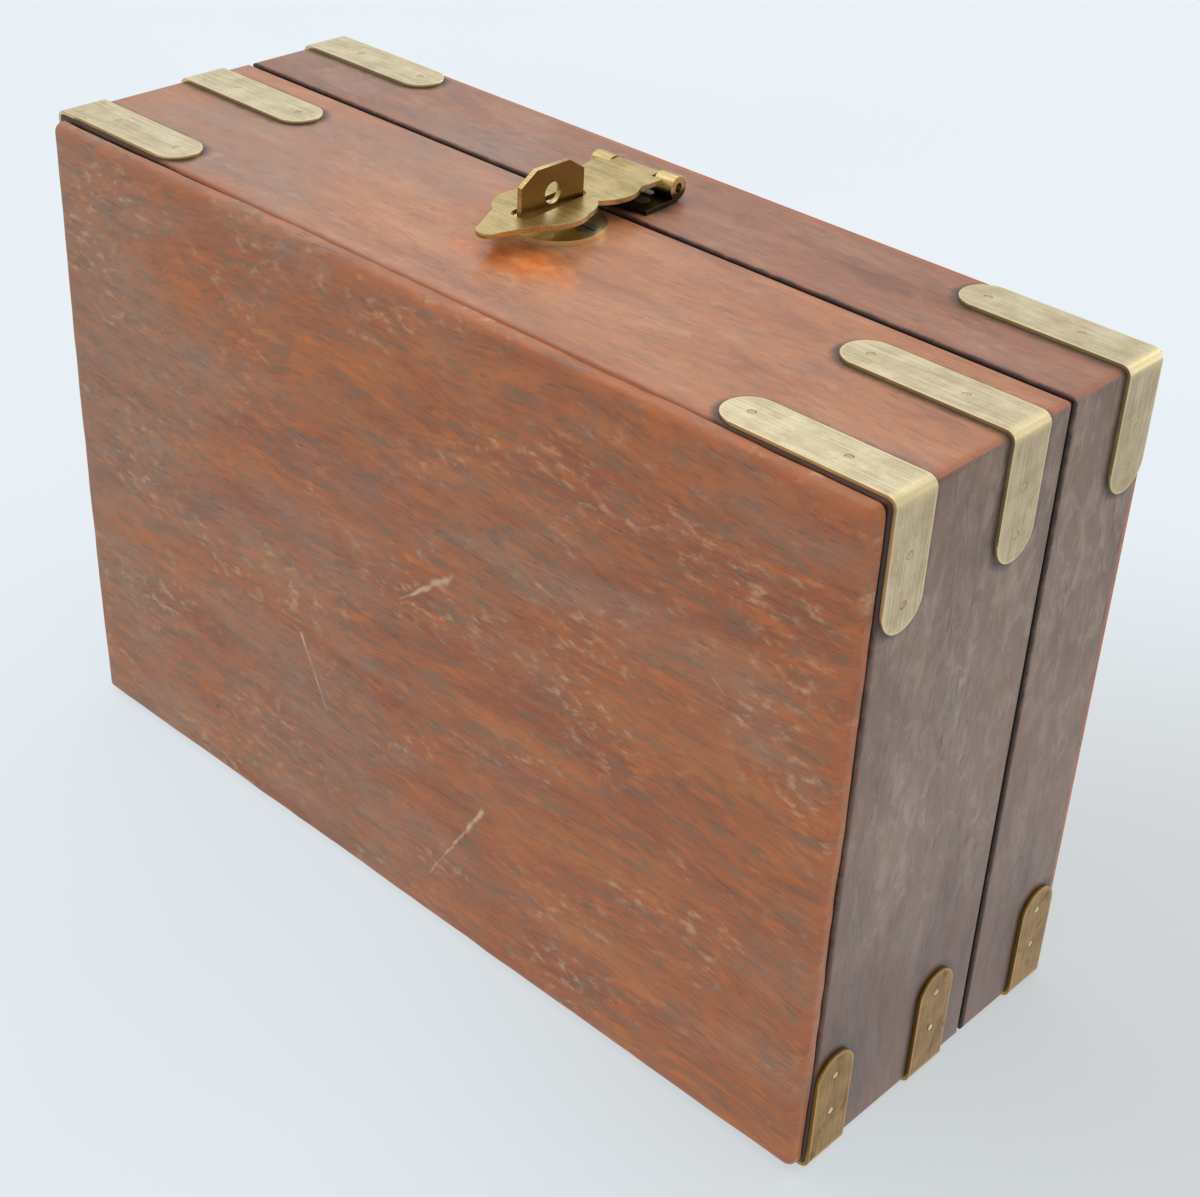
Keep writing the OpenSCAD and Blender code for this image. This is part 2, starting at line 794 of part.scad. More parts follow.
module hasp_plate() {
  knuckle_half = hasp_bore_half - fit;
  color(brass) at_hasp() difference() {
    union() {
      hasp_sheet(-hasp_knuckle_r, hasp_t - hasp_knuckle_r) difference() {
        hasp_plate_outline();
        slot_outline();
      }
      translate([-knuckle_half, -hasp_knuckle_r, -hasp_small_lobe_at]) cube([2 * knuckle_half, hasp_t, hasp_small_lobe_at]);
      translate([-knuckle_half, 0, 0]) rotate([0, 90, 0]) cylinder(r = hasp_knuckle_r, h = 2 * knuckle_half);
    }
    translate([-hasp_w, 0, 0]) rotate([0, 90, 0]) cylinder(r = hasp_pin_r + pin_play, h = 2 * hasp_w);
  }
}

module staple() {
  color(brass) at_staple() difference() {
    union() {
      translate([0, 0, foot_rise]) rotate([90, 0, 0]) cylinder(r = foot_r, h = foot_t);
      translate([-staple_t / 2, 0, 0]) rotate([90, 0, 90]) linear_extrude(staple_t) polygon([
        [0, -staple_l / 2], [0, staple_l / 2],
        [staple_crop_h - staple_h, staple_l / 2], [-staple_h, staple_l / 2 - staple_crop_l],
        [-staple_h, staple_crop_l - staple_l / 2], [staple_crop_h - staple_h, -staple_l / 2]
      ]);
    }
    translate([-foot_r, -eye_h, 0]) rotate([0, 90, 0]) cylinder(r = eye_r, h = 2 * foot_r);
    at_staple_screws() screw(big_head_r, hold_play);
  }
}

module staple_screws() {
  color(steel) at_staple() at_staple_screws() screw(big_head_r);
}

module divider() {
  color(dark_wood) difference() {
    translate([-inner_l, divider_front, base_board_t])
      cube([2 * inner_l, divider_t, divider_top - base_board_t]);
    divider_side() {
      board_leaf_bed(divider_t - skin + board_gap);
      at_board_screws() board_screw(hold_play);
    }
  }
}

module partition(side) {
  color(dark_wood) translate([side > 0 ? tray_x : -partition_x, divider_back, base_board_t])
    cube([partition_t, trough_d, divider_top - base_board_t]);
}

module left_partition() {
  partition(-1);
}

module right_partition() {
  partition(1);
}

module tray_cleats() {
  color(dark_wood) for (side = [-1, 1])
    translate([side > 0 ? tray_x - cleat_w : -tray_x, divider_back, cleat_top - cleat_h])
      cube([cleat_w, trough_d, cleat_h]);
}

module pen_tray() {
  half = tray_x - tray_play;
  depth = trough_d - 2 * tray_play;
  rim = depth / 2 - tray_rim;
  end_t = 2 * tray_rim;
  scoop_r = (pow(rim, 2) + pow(scoop_d, 2)) / (2 * scoop_d);
  color(dark_wood) translate([0, divider_back + trough_d / 2, 0]) difference() {
    translate([-half, -depth / 2, tray_low]) cube([2 * half, depth, tray_h]);
    translate([end_t - half, 0, tray_top - scoop_d + scoop_r]) rotate([0, 90, 0])
      cylinder(r = scoop_r, h = 2 * (half - end_t));
  }
}

module front_ledge() {
  color(dark_wood)
    ledge_in([ledge_w - inner_l, -inner_w, base_board_t], [2 * (inner_l - ledge_w), ledge_w, base_h]);
}

module side_ledge(side) {
  color(dark_wood)
    ledge_in(
      [side > 0 ? inner_l - ledge_w : -inner_l, -inner_w, base_board_t],
      [ledge_w, inner_w + divider_front, base_h]
    );
}

module left_ledge() {
  side_ledge(-1);
}

module right_ledge() {
  side_ledge(1);
}

module writing_board() {
  color(dark_wood) on_slope() difference() {
    translate([-board_half, -board_end, board_top - board_t])
      cube([2 * board_half, board_end - board_gap, board_t]);
    board_leaf_bed(board_gap + board_leaf_l);
    at_board_screws() board_screw(hold_play);
  }
}

module baize() {
  back = board_gap + board_leaf_l + fit + baize_back_gap;
  color("darkgreen") on_slope()
    translate([baize_margin - board_half, baize_margin - board_end, board_top])
      cube([2 * (board_half - baize_margin), board_end - baize_margin - back, baize_t]);
}

module board_leaf(plate_end, spans) {
  at_board_hinges()
    butt_leaf(
      board_hinge_w, plate_end, -board_leaf_t * 1.5, -board_leaf_t / 2,
      board_knuckle_r, knuckle_room, board_pin_r, spans
    );
}

module board_hinge_fixed_leaves() {
  color(brass) divider_side() difference() {
    board_leaf(divider_t - skin + board_gap, outer_spans(board_hinge_w));
    at_board_screws() board_screw(hold_play);
  }
}

module board_hinge_moving_leaves() {
  color(brass) on_slope() difference() {
    board_leaf(board_gap + board_leaf_l, middle_span(board_hinge_w));
    at_board_screws() board_screw(hold_play);
  }
}

module board_hinge_pins() {
  color(brass) translate([0, board_axis_y, board_axis_z]) at_board_hinges()
    translate([-board_hinge_w / 2, 0, 0]) rotate([0, 90, 0]) cylinder(r = board_pin_r, h = board_hinge_w);
}

module board_hinge_screws() {
  color(brass) divider_side() at_board_screws() board_screw();
}

module board_leaf_screws() {
  color(brass) on_slope() at_board_screws() board_screw();
}

base_board();
base_front_wall();
base_back_wall();
base_left_end();
base_right_end();
lid_board();
lid_front_wall();
lid_back_wall();
lid_left_end();
lid_right_end();
lower_strap_front_left();
lower_strap_front_right();
lower_strap_back_left();
lower_strap_back_right();
upper_strap_front_left();
upper_strap_front_right();
upper_strap_back_left();
upper_strap_back_right();
lid_strap_front_left();
lid_strap_front_right();
lid_strap_back_left();
lid_strap_back_right();
base_strap_pins();
lid_strap_pins();
left_hinge_base_leaf();
left_hinge_lid_leaf();
left_hinge_pin();
right_hinge_base_leaf();
right_hinge_lid_leaf();
right_hinge_pin();
base_hinge_screws();
lid_hinge_screws();
hasp_leaf();
hasp_pin();
hasp_screws();
hasp_plate();
staple();
staple_screws();
divider();
left_partition();
right_partition();
tray_cleats();
pen_tray();
front_ledge();
left_ledge();
right_ledge();
writing_board();
baize();
board_hinge_fixed_leaves();
board_hinge_moving_leaves();
board_hinge_pins();
board_hinge_screws();
board_leaf_screws();
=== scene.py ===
"""Looks of a small brass-bound writing box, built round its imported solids."""
import json
import logging
import math
from dataclasses import dataclass
from enum import Enum
from functools import partialmethod

import bpy
from bpy.types import Material, Node, NodeSocket as Socket, NodeTree, Object
from mathutils import Matrix, Vector, noise

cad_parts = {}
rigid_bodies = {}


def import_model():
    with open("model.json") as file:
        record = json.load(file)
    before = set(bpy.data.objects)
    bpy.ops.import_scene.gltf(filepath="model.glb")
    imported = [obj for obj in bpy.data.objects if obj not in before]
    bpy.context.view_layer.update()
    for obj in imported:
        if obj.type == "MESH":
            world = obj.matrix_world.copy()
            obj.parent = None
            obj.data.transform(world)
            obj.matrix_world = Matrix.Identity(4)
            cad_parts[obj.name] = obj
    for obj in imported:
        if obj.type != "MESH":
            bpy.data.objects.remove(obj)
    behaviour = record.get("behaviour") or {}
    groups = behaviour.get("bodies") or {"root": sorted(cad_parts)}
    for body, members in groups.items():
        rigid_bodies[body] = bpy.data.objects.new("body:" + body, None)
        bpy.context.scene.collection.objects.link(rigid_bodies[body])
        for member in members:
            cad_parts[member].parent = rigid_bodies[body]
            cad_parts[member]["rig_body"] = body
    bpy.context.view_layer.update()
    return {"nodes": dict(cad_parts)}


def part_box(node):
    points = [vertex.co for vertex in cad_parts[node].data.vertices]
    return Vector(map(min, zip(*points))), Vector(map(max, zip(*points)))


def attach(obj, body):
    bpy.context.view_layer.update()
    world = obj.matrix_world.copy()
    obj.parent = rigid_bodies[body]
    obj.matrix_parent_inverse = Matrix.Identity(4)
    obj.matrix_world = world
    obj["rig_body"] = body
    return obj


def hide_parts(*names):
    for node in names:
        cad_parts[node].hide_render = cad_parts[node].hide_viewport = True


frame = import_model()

log = logging.getLogger("writing_box")
Colour = tuple[float, float, float, float]
Triple = tuple[float, float, float]
Names = tuple[str, ...]
MM = 0.001


def srgb(red: float, green: float, blue: float) -> Colour:
    """Turn a screen colour of 0 to 255 into the linear colour that a socket takes.

    Args:
        red, green, blue: The colour on screen.

    Returns:
        Linear red, green, blue and full alpha.
    """
    def linear(value: float) -> float:
        """Return one channel in linear light."""
        share = value / 255
        return share / 12.92 if share <= 0.04045 else ((share + 0.055) / 1.055) ** 2.4

    return linear(red), linear(green), linear(blue), 1.0


class Grain(Enum):
    """Axis that the grain of a board follows, as the turn that brings it to X."""

    LENGTH = (0.0, 0.0, 0.0)
    WIDTH = (0.0, 0.0, -math.pi / 2)


class Side(Enum):
    """Outer face of the case that a wall lies on."""

    NONE = "none"
    LONG = "long"
    END = "end"


# ---- case sizes

@dataclass(frozen=True)
class CaseSizes:
    """Sizes of the case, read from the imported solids.

    Attributes:
        half_l, half_w: Half of the length and of the width over the walls.
        base_low, base_high: Lower and upper edge of the base walls.
        lid_low: Lower edge of the lid walls.
        strap_w: Width of a strap.
        long_reach, short_reach: Reach of a strap along the front or the back, and along an end.
        lower_mid, upper_mid, lid_mid: Middle heights of the three levels of straps.
    """

    half_l: float
    half_w: float
    base_low: float
    base_high: float
    lid_low: float
    strap_w: float
    long_reach: float
    short_reach: float
    lower_mid: float
    upper_mid: float
    lid_mid: float

    @classmethod
    def from_frame(cls) -> "CaseSizes":
        """Measure the walls and one strap of each level.

        Returns:
            The sizes.
        """
        wall_low, wall_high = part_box("base_front_wall")
        half_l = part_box("base_right_end")[1].x
        boxes = {level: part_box(f"{level}_strap_front_right") for level in ("lower", "upper", "lid")}
        low, high = boxes["lower"]
        return cls(
            half_l=half_l, half_w=-wall_low.y, base_low=wall_low.z, base_high=wall_high.z,
            lid_low=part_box("lid_front_wall")[0].z, strap_w=high.z - low.z,
            long_reach=half_l - low.x, short_reach=high.y - wall_low.y,
            **{f"{level}_mid": (box[0].z + box[1].z) / 2 for level, box in boxes.items()},
        )


CASE = CaseSizes.from_frame()


# ---- node graphs

@dataclass(frozen=True)
class Layer:
    """One layer of stretched noise.

    Attributes:
        scale: Scale along each axis.
        octaves, rough: Number of octaves and weight of the finer ones.
        twist: Distortion.
    """

    scale: Triple
    octaves: float
    rough: float
    twist: float = 0.0


class Graph:
    """Adds nodes to one node tree and links them."""

    def __init__(self, tree: NodeTree) -> None:
        """Keep the tree that the nodes go into."""
        self.tree = tree

    def feed(self, into: Socket, value: object) -> None:
        """Link a socket, or write a plain value, into an input.

        Args:
            into: The input.
            value: Socket or plain value.
        """
        if isinstance(value, Socket):
            self.tree.links.new(value, into)
        else:
            into.default_value = value

    def node(self, kind: str, inputs: dict[int | str, object] | None = None, **settings: object) -> Node:
        """Add a shader node.

        Args:
            kind: Its type, without the word ShaderNode.
            inputs: Sockets or plain values for its inputs, by number or name.
            **settings: Its properties.

        Returns:
            The node.
        """
        made = self.tree.nodes.new("ShaderNode" + kind)
        for name, value in settings.items():
            setattr(made, name, value)
        for label, value in (inputs or {}).items():
            self.feed(made.inputs[label], value)
        return made

    def math(self, operation: str, *values: object, clamp: bool = False) -> Socket:
        """Add a Math node, whose result is held between 0 and 1 where it is clamped."""
        return self.node("Math", dict(enumerate(values)), operation=operation, use_clamp=clamp).outputs[0]

    # Each of these takes two numbers; least and most keep the smaller and the larger one.
    plus = partialmethod(math, "ADD")
    minus = partialmethod(math, "SUBTRACT")
    times = partialmethod(math, "MULTIPLY")
    least = partialmethod(math, "MINIMUM")
    most = partialmethod(math, "MAXIMUM")

    def average(self, first: Socket, second: Socket) -> Socket:
        """Take half of each of two numbers."""
        return self.plus(self.times(first, 0.5), self.times(second, 0.5))

    def vector(self, operation: str, *values: object) -> Socket:
        """Add a Vector Math node and return its vector."""
        return self.node("VectorMath", dict(enumerate(values)), operation=operation).outputs[0]

    def dot(self, first: Socket, second: Socket) -> Socket:
        """Multiply two vectors and return the number."""
        return self.node("VectorMath", {0: first, 1: second}, operation="DOT_PRODUCT").outputs["Value"]

    def length(self, vector: Socket) -> Socket:
        """Measure a vector."""
        return self.math("SQRT", self.dot(vector, vector))

    def oval(self, here: Socket, middle: Vector, reach: Vector) -> Socket:
        """Measure how far a place lies from a middle, where the oval of the given reach is at 1."""
        return self.length(self.vector("DIVIDE", self.vector("SUBTRACT", here, middle), reach))

    def parts(self, vector: Socket) -> tuple[Socket, ...]:
        """Split a vector into X, Y and Z."""
        return tuple(self.node("SeparateXYZ", {0: vector}).outputs)

    def joined(self, *values: object) -> Socket:
        """Join X, Y and Z into a vector."""
        return self.node("CombineXYZ", dict(enumerate(values))).outputs[0]

    def noise(self, vector: Socket, scale: float, octaves: float, rough: float = 0.55, twist: float = 0.0) -> Socket:
        """Read a Noise Texture of a scale, with octaves, the weight of the finer ones and a distortion."""
        inputs = {"Vector": vector, "Scale": scale, "Detail": octaves, "Roughness": rough, "Distortion": twist}
        return self.node("TexNoise", inputs).outputs[0]

    def layer(self, vector: Socket, layer: Layer) -> Socket:
        """Read one layer of stretched noise."""
        return self.noise(self.vector("MULTIPLY", vector, layer.scale), 1.0, layer.octaves, layer.rough, layer.twist)

    def sway(self, cloud: Socket, amount: float) -> Socket:
        """Bring a noise round nothing and scale it."""
        return self.times(self.minus(cloud, 0.5), amount)

    def spread(
        self, value: Socket, low: object, high: object, to_low: float = 0.0, to_high: float = 1.0,
    ) -> Socket:
        """Ease a value from one range, low to high, into another, held at both ends."""
        inputs = dict(enumerate((value, low, high, to_low, to_high)))
        return self.node("MapRange", inputs, interpolation_type="SMOOTHSTEP").outputs[0]

    def near(self, distance: Socket, reach: Socket) -> Socket:
        """Build a mask that is full where the distance is nothing and ends at the reach."""
        return self.spread(self.math("SUBTRACT", 1.0, self.math("DIVIDE", distance, reach), clamp=True), 0.0, 1.0)

    def mix(self, share: Socket, under: object, over: object) -> Socket:
        """Lay one colour over another where the share says so."""
        return self.node("Mix", {0: share, 6: under, 7: over}, data_type="RGBA").outputs[2]

    def tint(self, under: Socket, over: Colour, mask: Socket, strength: float) -> Socket:
        """Lay a colour over another where a mask says so, at a given strength."""
        return self.mix(self.times(mask, strength), under, over)

    def choose(self, share: Socket, first: Socket, second: Socket) -> Socket:
        """Blend two shaders."""
        return self.node("MixShader", {0: share, 1: first, 2: second}).outputs[0]

    def ramp(self, value: Socket, stops: tuple[tuple[float, Colour], ...]) -> Socket:
        """Colour a value by a ramp of stops.

        Args:
            value: What is read.
            stops: Places and colours.

        Returns:
            The colour's socket.
        """
        made = self.node("ValToRGB", {0: value})
        made.color_ramp.interpolation = "EASE"
        bands = made.color_ramp.elements
        while len(bands) < len(stops):
            bands.new(0.5)
        for band, (place, colour) in zip(bands, stops):
            band.position = place
            band.color = colour
        return made.outputs[0]

    def turned(self, vector: Socket, shift: Triple, turn: Triple) -> Socket:
        """Turn a vector and shift it."""
        return self.node("Mapping", {"Vector": vector, "Location": shift, "Rotation": turn}).outputs[0]

    def place(self, grain: Grain = Grain.LENGTH, shift: Triple = (0.0, 0.0, 0.0)) -> Socket:
        """Read the object's own coordinates, with the grain turned to X and shifted."""
        return self.turned(self.node("TexCoord").outputs["Object"], shift, grain.value)

    def use(self, group: NodeTree, **values: object) -> bpy.types.bpy_prop_collection:
        """Place a shared node group, feed its named inputs and return its outputs."""
        inputs = {name.replace("_", " "): value for name, value in values.items()}
        return self.node("Group", inputs, node_tree=group).outputs

    def surface(
        self, shader: Node, colour: Socket, rough: object, height: Socket, strength: float, depth: float,
    ) -> None:
        """Feed a shader its surface.

        Args:
            shader: The material's shader.
            colour: Its colour.
            rough: Its roughness.
            height: Height of the bumps.
            strength: Strength of the bumps.
            depth: Depth of the bumps.
        """
        bump = self.node("Bump", {"Strength": strength, "Distance": depth, "Height": height})
        for name, value in (("Base Color", colour), ("Roughness", rough), ("Normal", bump.outputs[0])):
            self.feed(shader.inputs[name], value)


class SharedEffect:
    """A node group with named inputs and outputs, built once."""

    def __init__(self, name: str, vectors: Names, values: Names, outputs: Names) -> None:
        """Make the group and its sockets.

        Args:
            name: Name of the group.
            vectors, values: Names of the vector inputs and of the value inputs.
            outputs: Names of the value outputs.
        """
        self.tree = bpy.data.node_groups.new(name, "ShaderNodeTree")
        sockets = ((vectors, "INPUT", "Vector"), (values, "INPUT", "Float"), (outputs, "OUTPUT", "Float"))
        for labels, way, kind in sockets:
            for label in labels:
                self.tree.interface.new_socket(label, in_out=way, socket_type="NodeSocket" + kind)
        self.graph = Graph(self.tree)
        self.inputs = self.tree.nodes.new("NodeGroupInput").outputs
        self.outputs = self.tree.nodes.new("NodeGroupOutput").inputs

    def finish(self, **values: Socket) -> NodeTree:
        """Link the results and return the group.

        Args:
            **values: Sockets for the outputs, by name.

        Returns:
            The node group.
        """
        for name, value in values.items():
            self.graph.feed(self.outputs[name], value)
        return self.tree


def new_material(name: str, **shader: float) -> tuple[Material, Graph, Node]:
    """Start a material with its shader.

    Args:
        name: Name of the material.
        **shader: Plain values for the shader's own sockets, with underscores for spaces.

    Returns:
        The material, its graph and its shader node.
    """
    material = bpy.data.materials.new(name)
    material.use_nodes = True
    principled = material.node_tree.nodes["Principled BSDF"]
    for label, value in shader.items():
        principled.inputs[label.replace("_", " ")].default_value = value
    return material, Graph(material.node_tree), principled


# ---- shared effects

# Noise layers. Those of the wood lie along a grain that runs along X.
BANDS = Layer((16.0, 80.0, 80.0), 6.0, 0.7, 0.4)
BROAD_STREAKS = Layer((75.0, 430.0, 430.0), 5.0, 0.7, 0.4)
NARROW_STREAKS = Layer((190.0, 1150.0, 1150.0), 4.0, 0.7, 0.3)
MOTTLE = Layer((120.0, 240.0, 240.0), 6.0, 0.72, 0.6)
HAZE = Layer((95.0, 330.0, 330.0), 4.0, 0.62, 0.2)
WARM_SPOTS = Layer((80.0, 290.0, 290.0), 4.0, 0.62, 0.2)
PORES = Layer((170.0, 1900.0, 1900.0), 1.0, 0.5)
HAIRLINES = Layer((60.0, 1100.0, 20.0), 2.0, 0.6)
FLECKS = Layer((220.0, 420.0, 220.0), 4.0, 0.6)
CROWDS = Layer((24.0, 44.0, 24.0), 4.0, 0.65)
BRUSHING = Layer((60.0, 2300.0, 2300.0), 2.0, 0.5)
TARNISH = Layer((130.0, 210.0, 210.0), 6.0, 0.72, 0.3)


def wood_figure() -> NodeTree:
    """Build the figure of a board whose grain runs along X: broad drifts, short streaks and pores.

    Returns:
        The node group.
    """
    outputs = ("Bands", "Streaks", "Mottle", "Pores", "Haze", "Warm", "Height")
    effect = SharedEffect("wood_figure", ("Vector",), (), outputs)
    g, place = effect.graph, effect.inputs["Vector"]
    stretched = g.vector("MULTIPLY", place, (5.0, 16.0, 16.0))
    shifted = g.vector("ADD", stretched, (7.3, 1.9, 4.1))
    drift, lean = (g.sway(g.noise(spot, 1.0, 2.0), 0.03) for spot in (stretched, shifted))
    waved = g.vector("ADD", place, g.joined(0.0, drift, lean))
    bands, mottle = g.layer(waved, BANDS), g.layer(place, MOTTLE)
    streaks = g.average(g.layer(waved, BROAD_STREAKS), g.layer(waved, NARROW_STREAKS))
    warm = g.layer(g.vector("ADD", waved, (0.31, 0.17, 0.23)), WARM_SPOTS)
    pitted = g.times(g.spread(g.layer(waved, PORES), 0.58, 0.72), g.spread(bands, 0.4, 0.6, 1.0, 0.3))
    height = g.minus(g.times(streaks, 0.5), g.times(pitted, 0.5))
    return effect.finish(
        Bands=g.spread(bands, 0.3, 0.72), Streaks=g.spread(streaks, 0.45, 0.66), Mottle=g.spread(mottle, 0.4, 0.66),
        Pores=pitted, Haze=g.spread(g.layer(waved, HAZE), 0.48, 0.68), Warm=g.spread(warm, 0.5, 0.68),
        Height=g.plus(height, g.times(mottle, 0.6)),
    )


def patches() -> NodeTree:
    """Build soft uneven patches, as old polish and soiling leave them.

    Returns:
        The node group.
    """
    effect = SharedEffect("patches", ("Vector",), ("Low", "High"), ("Mask",))
    g, given = effect.graph, effect.inputs
    return effect.finish(Mask=g.spread(g.noise(given["Vector"], 1.0, 5.0, 0.62, 0.4), given["Low"], given["High"]))


def edge_wear() -> NodeTree:
    """Build the wear along the edges of a box of given middle and half sizes.

    Returns:
        The node group.
    """
    effect = SharedEffect("edge_wear", ("Vector", "Middle", "Half"), ("Width",), ("Mask",))
    g, given = effect.graph, effect.inputs
    off = g.vector("ABSOLUTE", g.vector("SUBTRACT", given["Vector"], given["Middle"]))
    x, y, z = g.parts(g.vector("SUBTRACT", given["Half"], off))
    second = g.most(g.least(x, y), g.least(g.most(x, y), z))
    ragged = g.noise(given["Vector"], 160.0, 4.0, 0.65)
    return effect.finish(Mask=g.near(second, g.times(given["Width"], g.spread(ragged, 0.3, 0.7, 0.35, 1.6))))


def strap_shape() -> NodeTree:
    """Build the distance to a strap leg with a round end, in metres and below zero inside it.

    Returns:
        The node group.
    """
    effect = SharedEffect("strap_shape", (), ("Along", "Across", "Reach", "Half Width"), ("Distance",))
    g, given = effect.graph, effect.inputs
    straight = g.minus(given["Reach"], given["Half Width"])
    past = g.most(g.minus(given["Along"], straight), 0.0)
    square = g.plus(g.math("POWER", past, 2.0), g.math("POWER", given["Across"], 2.0))
    return effect.finish(Distance=g.minus(g.math("SQRT", square), given["Half Width"]))


def scratches() -> NodeTree:
    """Build short wavering marks and clusters of flecks over the XY plane of the vector.

    Returns:
        The node group.
    """
    effect = SharedEffect("scratches", ("Vector",), (), ("Mask", "Flecks"))
    g, place = effect.graph, effect.inputs["Vector"]
    sway = g.sway(g.noise(place, 110.0, 3.0, 0.7), 0.004)
    swayed = g.vector("ADD", place, g.joined(sway, sway, 0.0))
    total: object = 0.0
    for turn, seed in ((0.5, 0.0), (-0.65, 3.7), (1.25, 8.1)):
        turned = g.turned(swayed, (seed, seed, 0.0), (0.0, 0.0, turn))
        lines = g.spread(g.layer(turned, HAIRLINES), 0.66, 0.8)
        total = g.most(total, g.times(lines, g.spread(g.noise(turned, 48.0, 3.0), 0.54, 0.68)))
    flecks, crowds = g.spread(g.layer(place, FLECKS), 0.49, 0.72), g.spread(g.layer(place, CROWDS), 0.46, 0.62)
    return effect.finish(Mask=total, Flecks=g.times(flecks, crowds))


def line_mark() -> NodeTree:
    """Build one ragged line that thins from a start to an end, such as a crack or a scratch.

    Returns:
        The node group.
    """
    effect = SharedEffect("line_mark", ("Vector", "Start", "End"), ("Width",), ("Mask",))
    g, given = effect.graph, effect.inputs
    ragged = g.noise(given["Vector"], 230.0, 2.0, 0.5)
    sway = g.sway(g.noise(given["Vector"], 170.0, 2.0), 0.001)
    line = g.vector("SUBTRACT", given["End"], given["Start"])
    here = g.vector("ADD", g.vector("SUBTRACT", given["Vector"], given["Start"]), g.joined(sway, sway, 0.0))
    part = g.math("DIVIDE", g.dot(here, line), g.dot(line, line), clamp=True)
    off = g.vector("SUBTRACT", here, g.vector("MULTIPLY", line, g.joined(part, part, part)))
    width = g.times(g.times(given["Width"], g.minus(1.15, part)), g.spread(ragged, 0.3, 0.7, 0.7, 1.4))
    return effect.finish(Mask=g.times(g.near(g.length(off), width), g.spread(ragged, 0.3, 0.6, 0.3, 1.0)))


def brushed_metal() -> NodeTree:
    """Build the streaks, tarnish and pits of metal that was brushed along X.

    Returns:
        The node group.
    """
    effect = SharedEffect("brushed_metal", ("Vector",), (), ("Streaks", "Tarnish", "Pits", "Height"))
    g, place = effect.graph, effect.inputs["Vector"]
    tone = g.average(g.noise(place, 150.0, 4.0, 0.6), g.layer(place, BRUSHING))
    pits = g.spread(g.noise(place, 1700.0, 2.0), 0.66, 0.76)
    tarnish = g.spread(g.layer(place, TARNISH), 0.52, 0.72)
    return effect.finish(Streaks=g.spread(tone, 0.36, 0.64), Tarnish=tarnish, Pits=pits, Height=g.minus(tone, pits))


FIGURE = wood_figure()
PATCHES = patches()
WEAR = edge_wear()
STRAP = strap_shape()
SCRATCHES = scratches()
LINE = line_mark()
BRUSHED = brushed_metal()


def case_edges(g: Graph, here: Socket) -> tuple[Socket, Socket, Socket]:
    """Measure a place from the nearer end and from the nearer long side of the case, and its height."""
    x, y, z = g.parts(g.vector("ABSOLUTE", here))
    return g.minus(CASE.half_l, x), g.minus(CASE.half_w, y), z


def strap_distance(g: Graph, along: Socket, across: Socket, reach: float) -> Socket:
    """Measure the distance to a strap leg from a place along and across it."""
    return g.use(STRAP, Along=along, Across=across, Reach=reach, Half_Width=CASE.strap_w / 2)["Distance"]


# ---- wood

@dataclass(frozen=True)
class WoodFinish:
    """Colours and surface of one kind of board.

    Attributes:
        dark, middle, light: Colours of the bands.
        streak, scratch: Colours of the fine streaks and of the scratches.
        patina_and_sheen, haze, warm: Colours of the dull patches, which on the front, lid and end walls are partly
            painted sheen, and of the small hazy and bright spots.
        worn, grime_and_shade: Colours of rubbed edges, and of the soiling beside metal and in joints, which also
            paints the shadow under the hasp's leaf.
        roughness: Middle roughness.
        patina_and_sheen_share, haze_share, scratch_share, worn_share: Strengths of the patches, of both kinds of
        spots, of the scratches and of the worn edges.
        evenness: How far the patches' edges are softened.
        bare: How far the patches thin out where the patina starts.
        patina_gradient: Axis and the two places between which the patches grow, if they do; on the front and lid
            walls this paints sheen that fades towards +X, and on the end walls shade that darkens towards the back.
    """

    dark: Colour
    middle: Colour
    light: Colour
    streak: Colour
    patina_and_sheen: Colour
    worn: Colour
    grime_and_shade: Colour
    scratch: Colour
    haze: Colour = srgb(118, 100, 86)
    warm: Colour = srgb(190, 108, 60)
    roughness: float = 0.42
    patina_and_sheen_share: float = 0.5
    haze_share: float = 0.25
    evenness: float = 0.0
    bare: float = 0.0
    scratch_share: float = 0.2
    worn_share: float = 0.5
    patina_gradient: tuple[int, float, float] | None = None


UNDERSIDE = WoodFinish(
    dark=srgb(159, 90, 56), middle=srgb(176, 103, 60), light=srgb(189, 116, 66), streak=srgb(108, 76, 56),
    patina_and_sheen=srgb(160, 138, 120), worn=srgb(190, 112, 70), grime_and_shade=srgb(62, 44, 34), scratch=srgb(226, 188, 146),
    haze=srgb(116, 108, 90), warm=srgb(208, 118, 56), roughness=0.46, patina_and_sheen_share=0.66, haze_share=0.5,
    scratch_share=0.5, worn_share=0.45, patina_gradient=(0, 0.09, -0.11),
)
# The pale patches of the front and lid walls, which grow towards -X, are partly old polish and partly painted sheen.
FRONT = WoodFinish(
    dark=srgb(162, 102, 70), middle=srgb(182, 120, 82), light=srgb(198, 138, 100), streak=srgb(136, 94, 72),
    patina_and_sheen=srgb(148, 128, 116), worn=srgb(166, 90, 54), grime_and_shade=srgb(52, 36, 28), scratch=srgb(214, 182, 158),
    haze=srgb(136, 112, 94), warm=srgb(204, 134, 86), roughness=0.32, patina_and_sheen_share=0.72, haze_share=0.3,
    worn_share=0.6, patina_gradient=(0, 0.06, -0.1),
)
LID = WoodFinish(
    dark=srgb(134, 82, 58), middle=srgb(156, 104, 78), light=srgb(172, 120, 92), streak=srgb(114, 80, 64),
    patina_and_sheen=srgb(152, 132, 120), worn=srgb(156, 86, 56), grime_and_shade=srgb(50, 36, 30), scratch=srgb(206, 172, 150),
    haze=srgb(112, 96, 84), warm=srgb(176, 110, 72), roughness=0.34, patina_and_sheen_share=0.72, haze_share=0.34,
    worn_share=0.6, patina_gradient=(0, 0.06, -0.1),
)
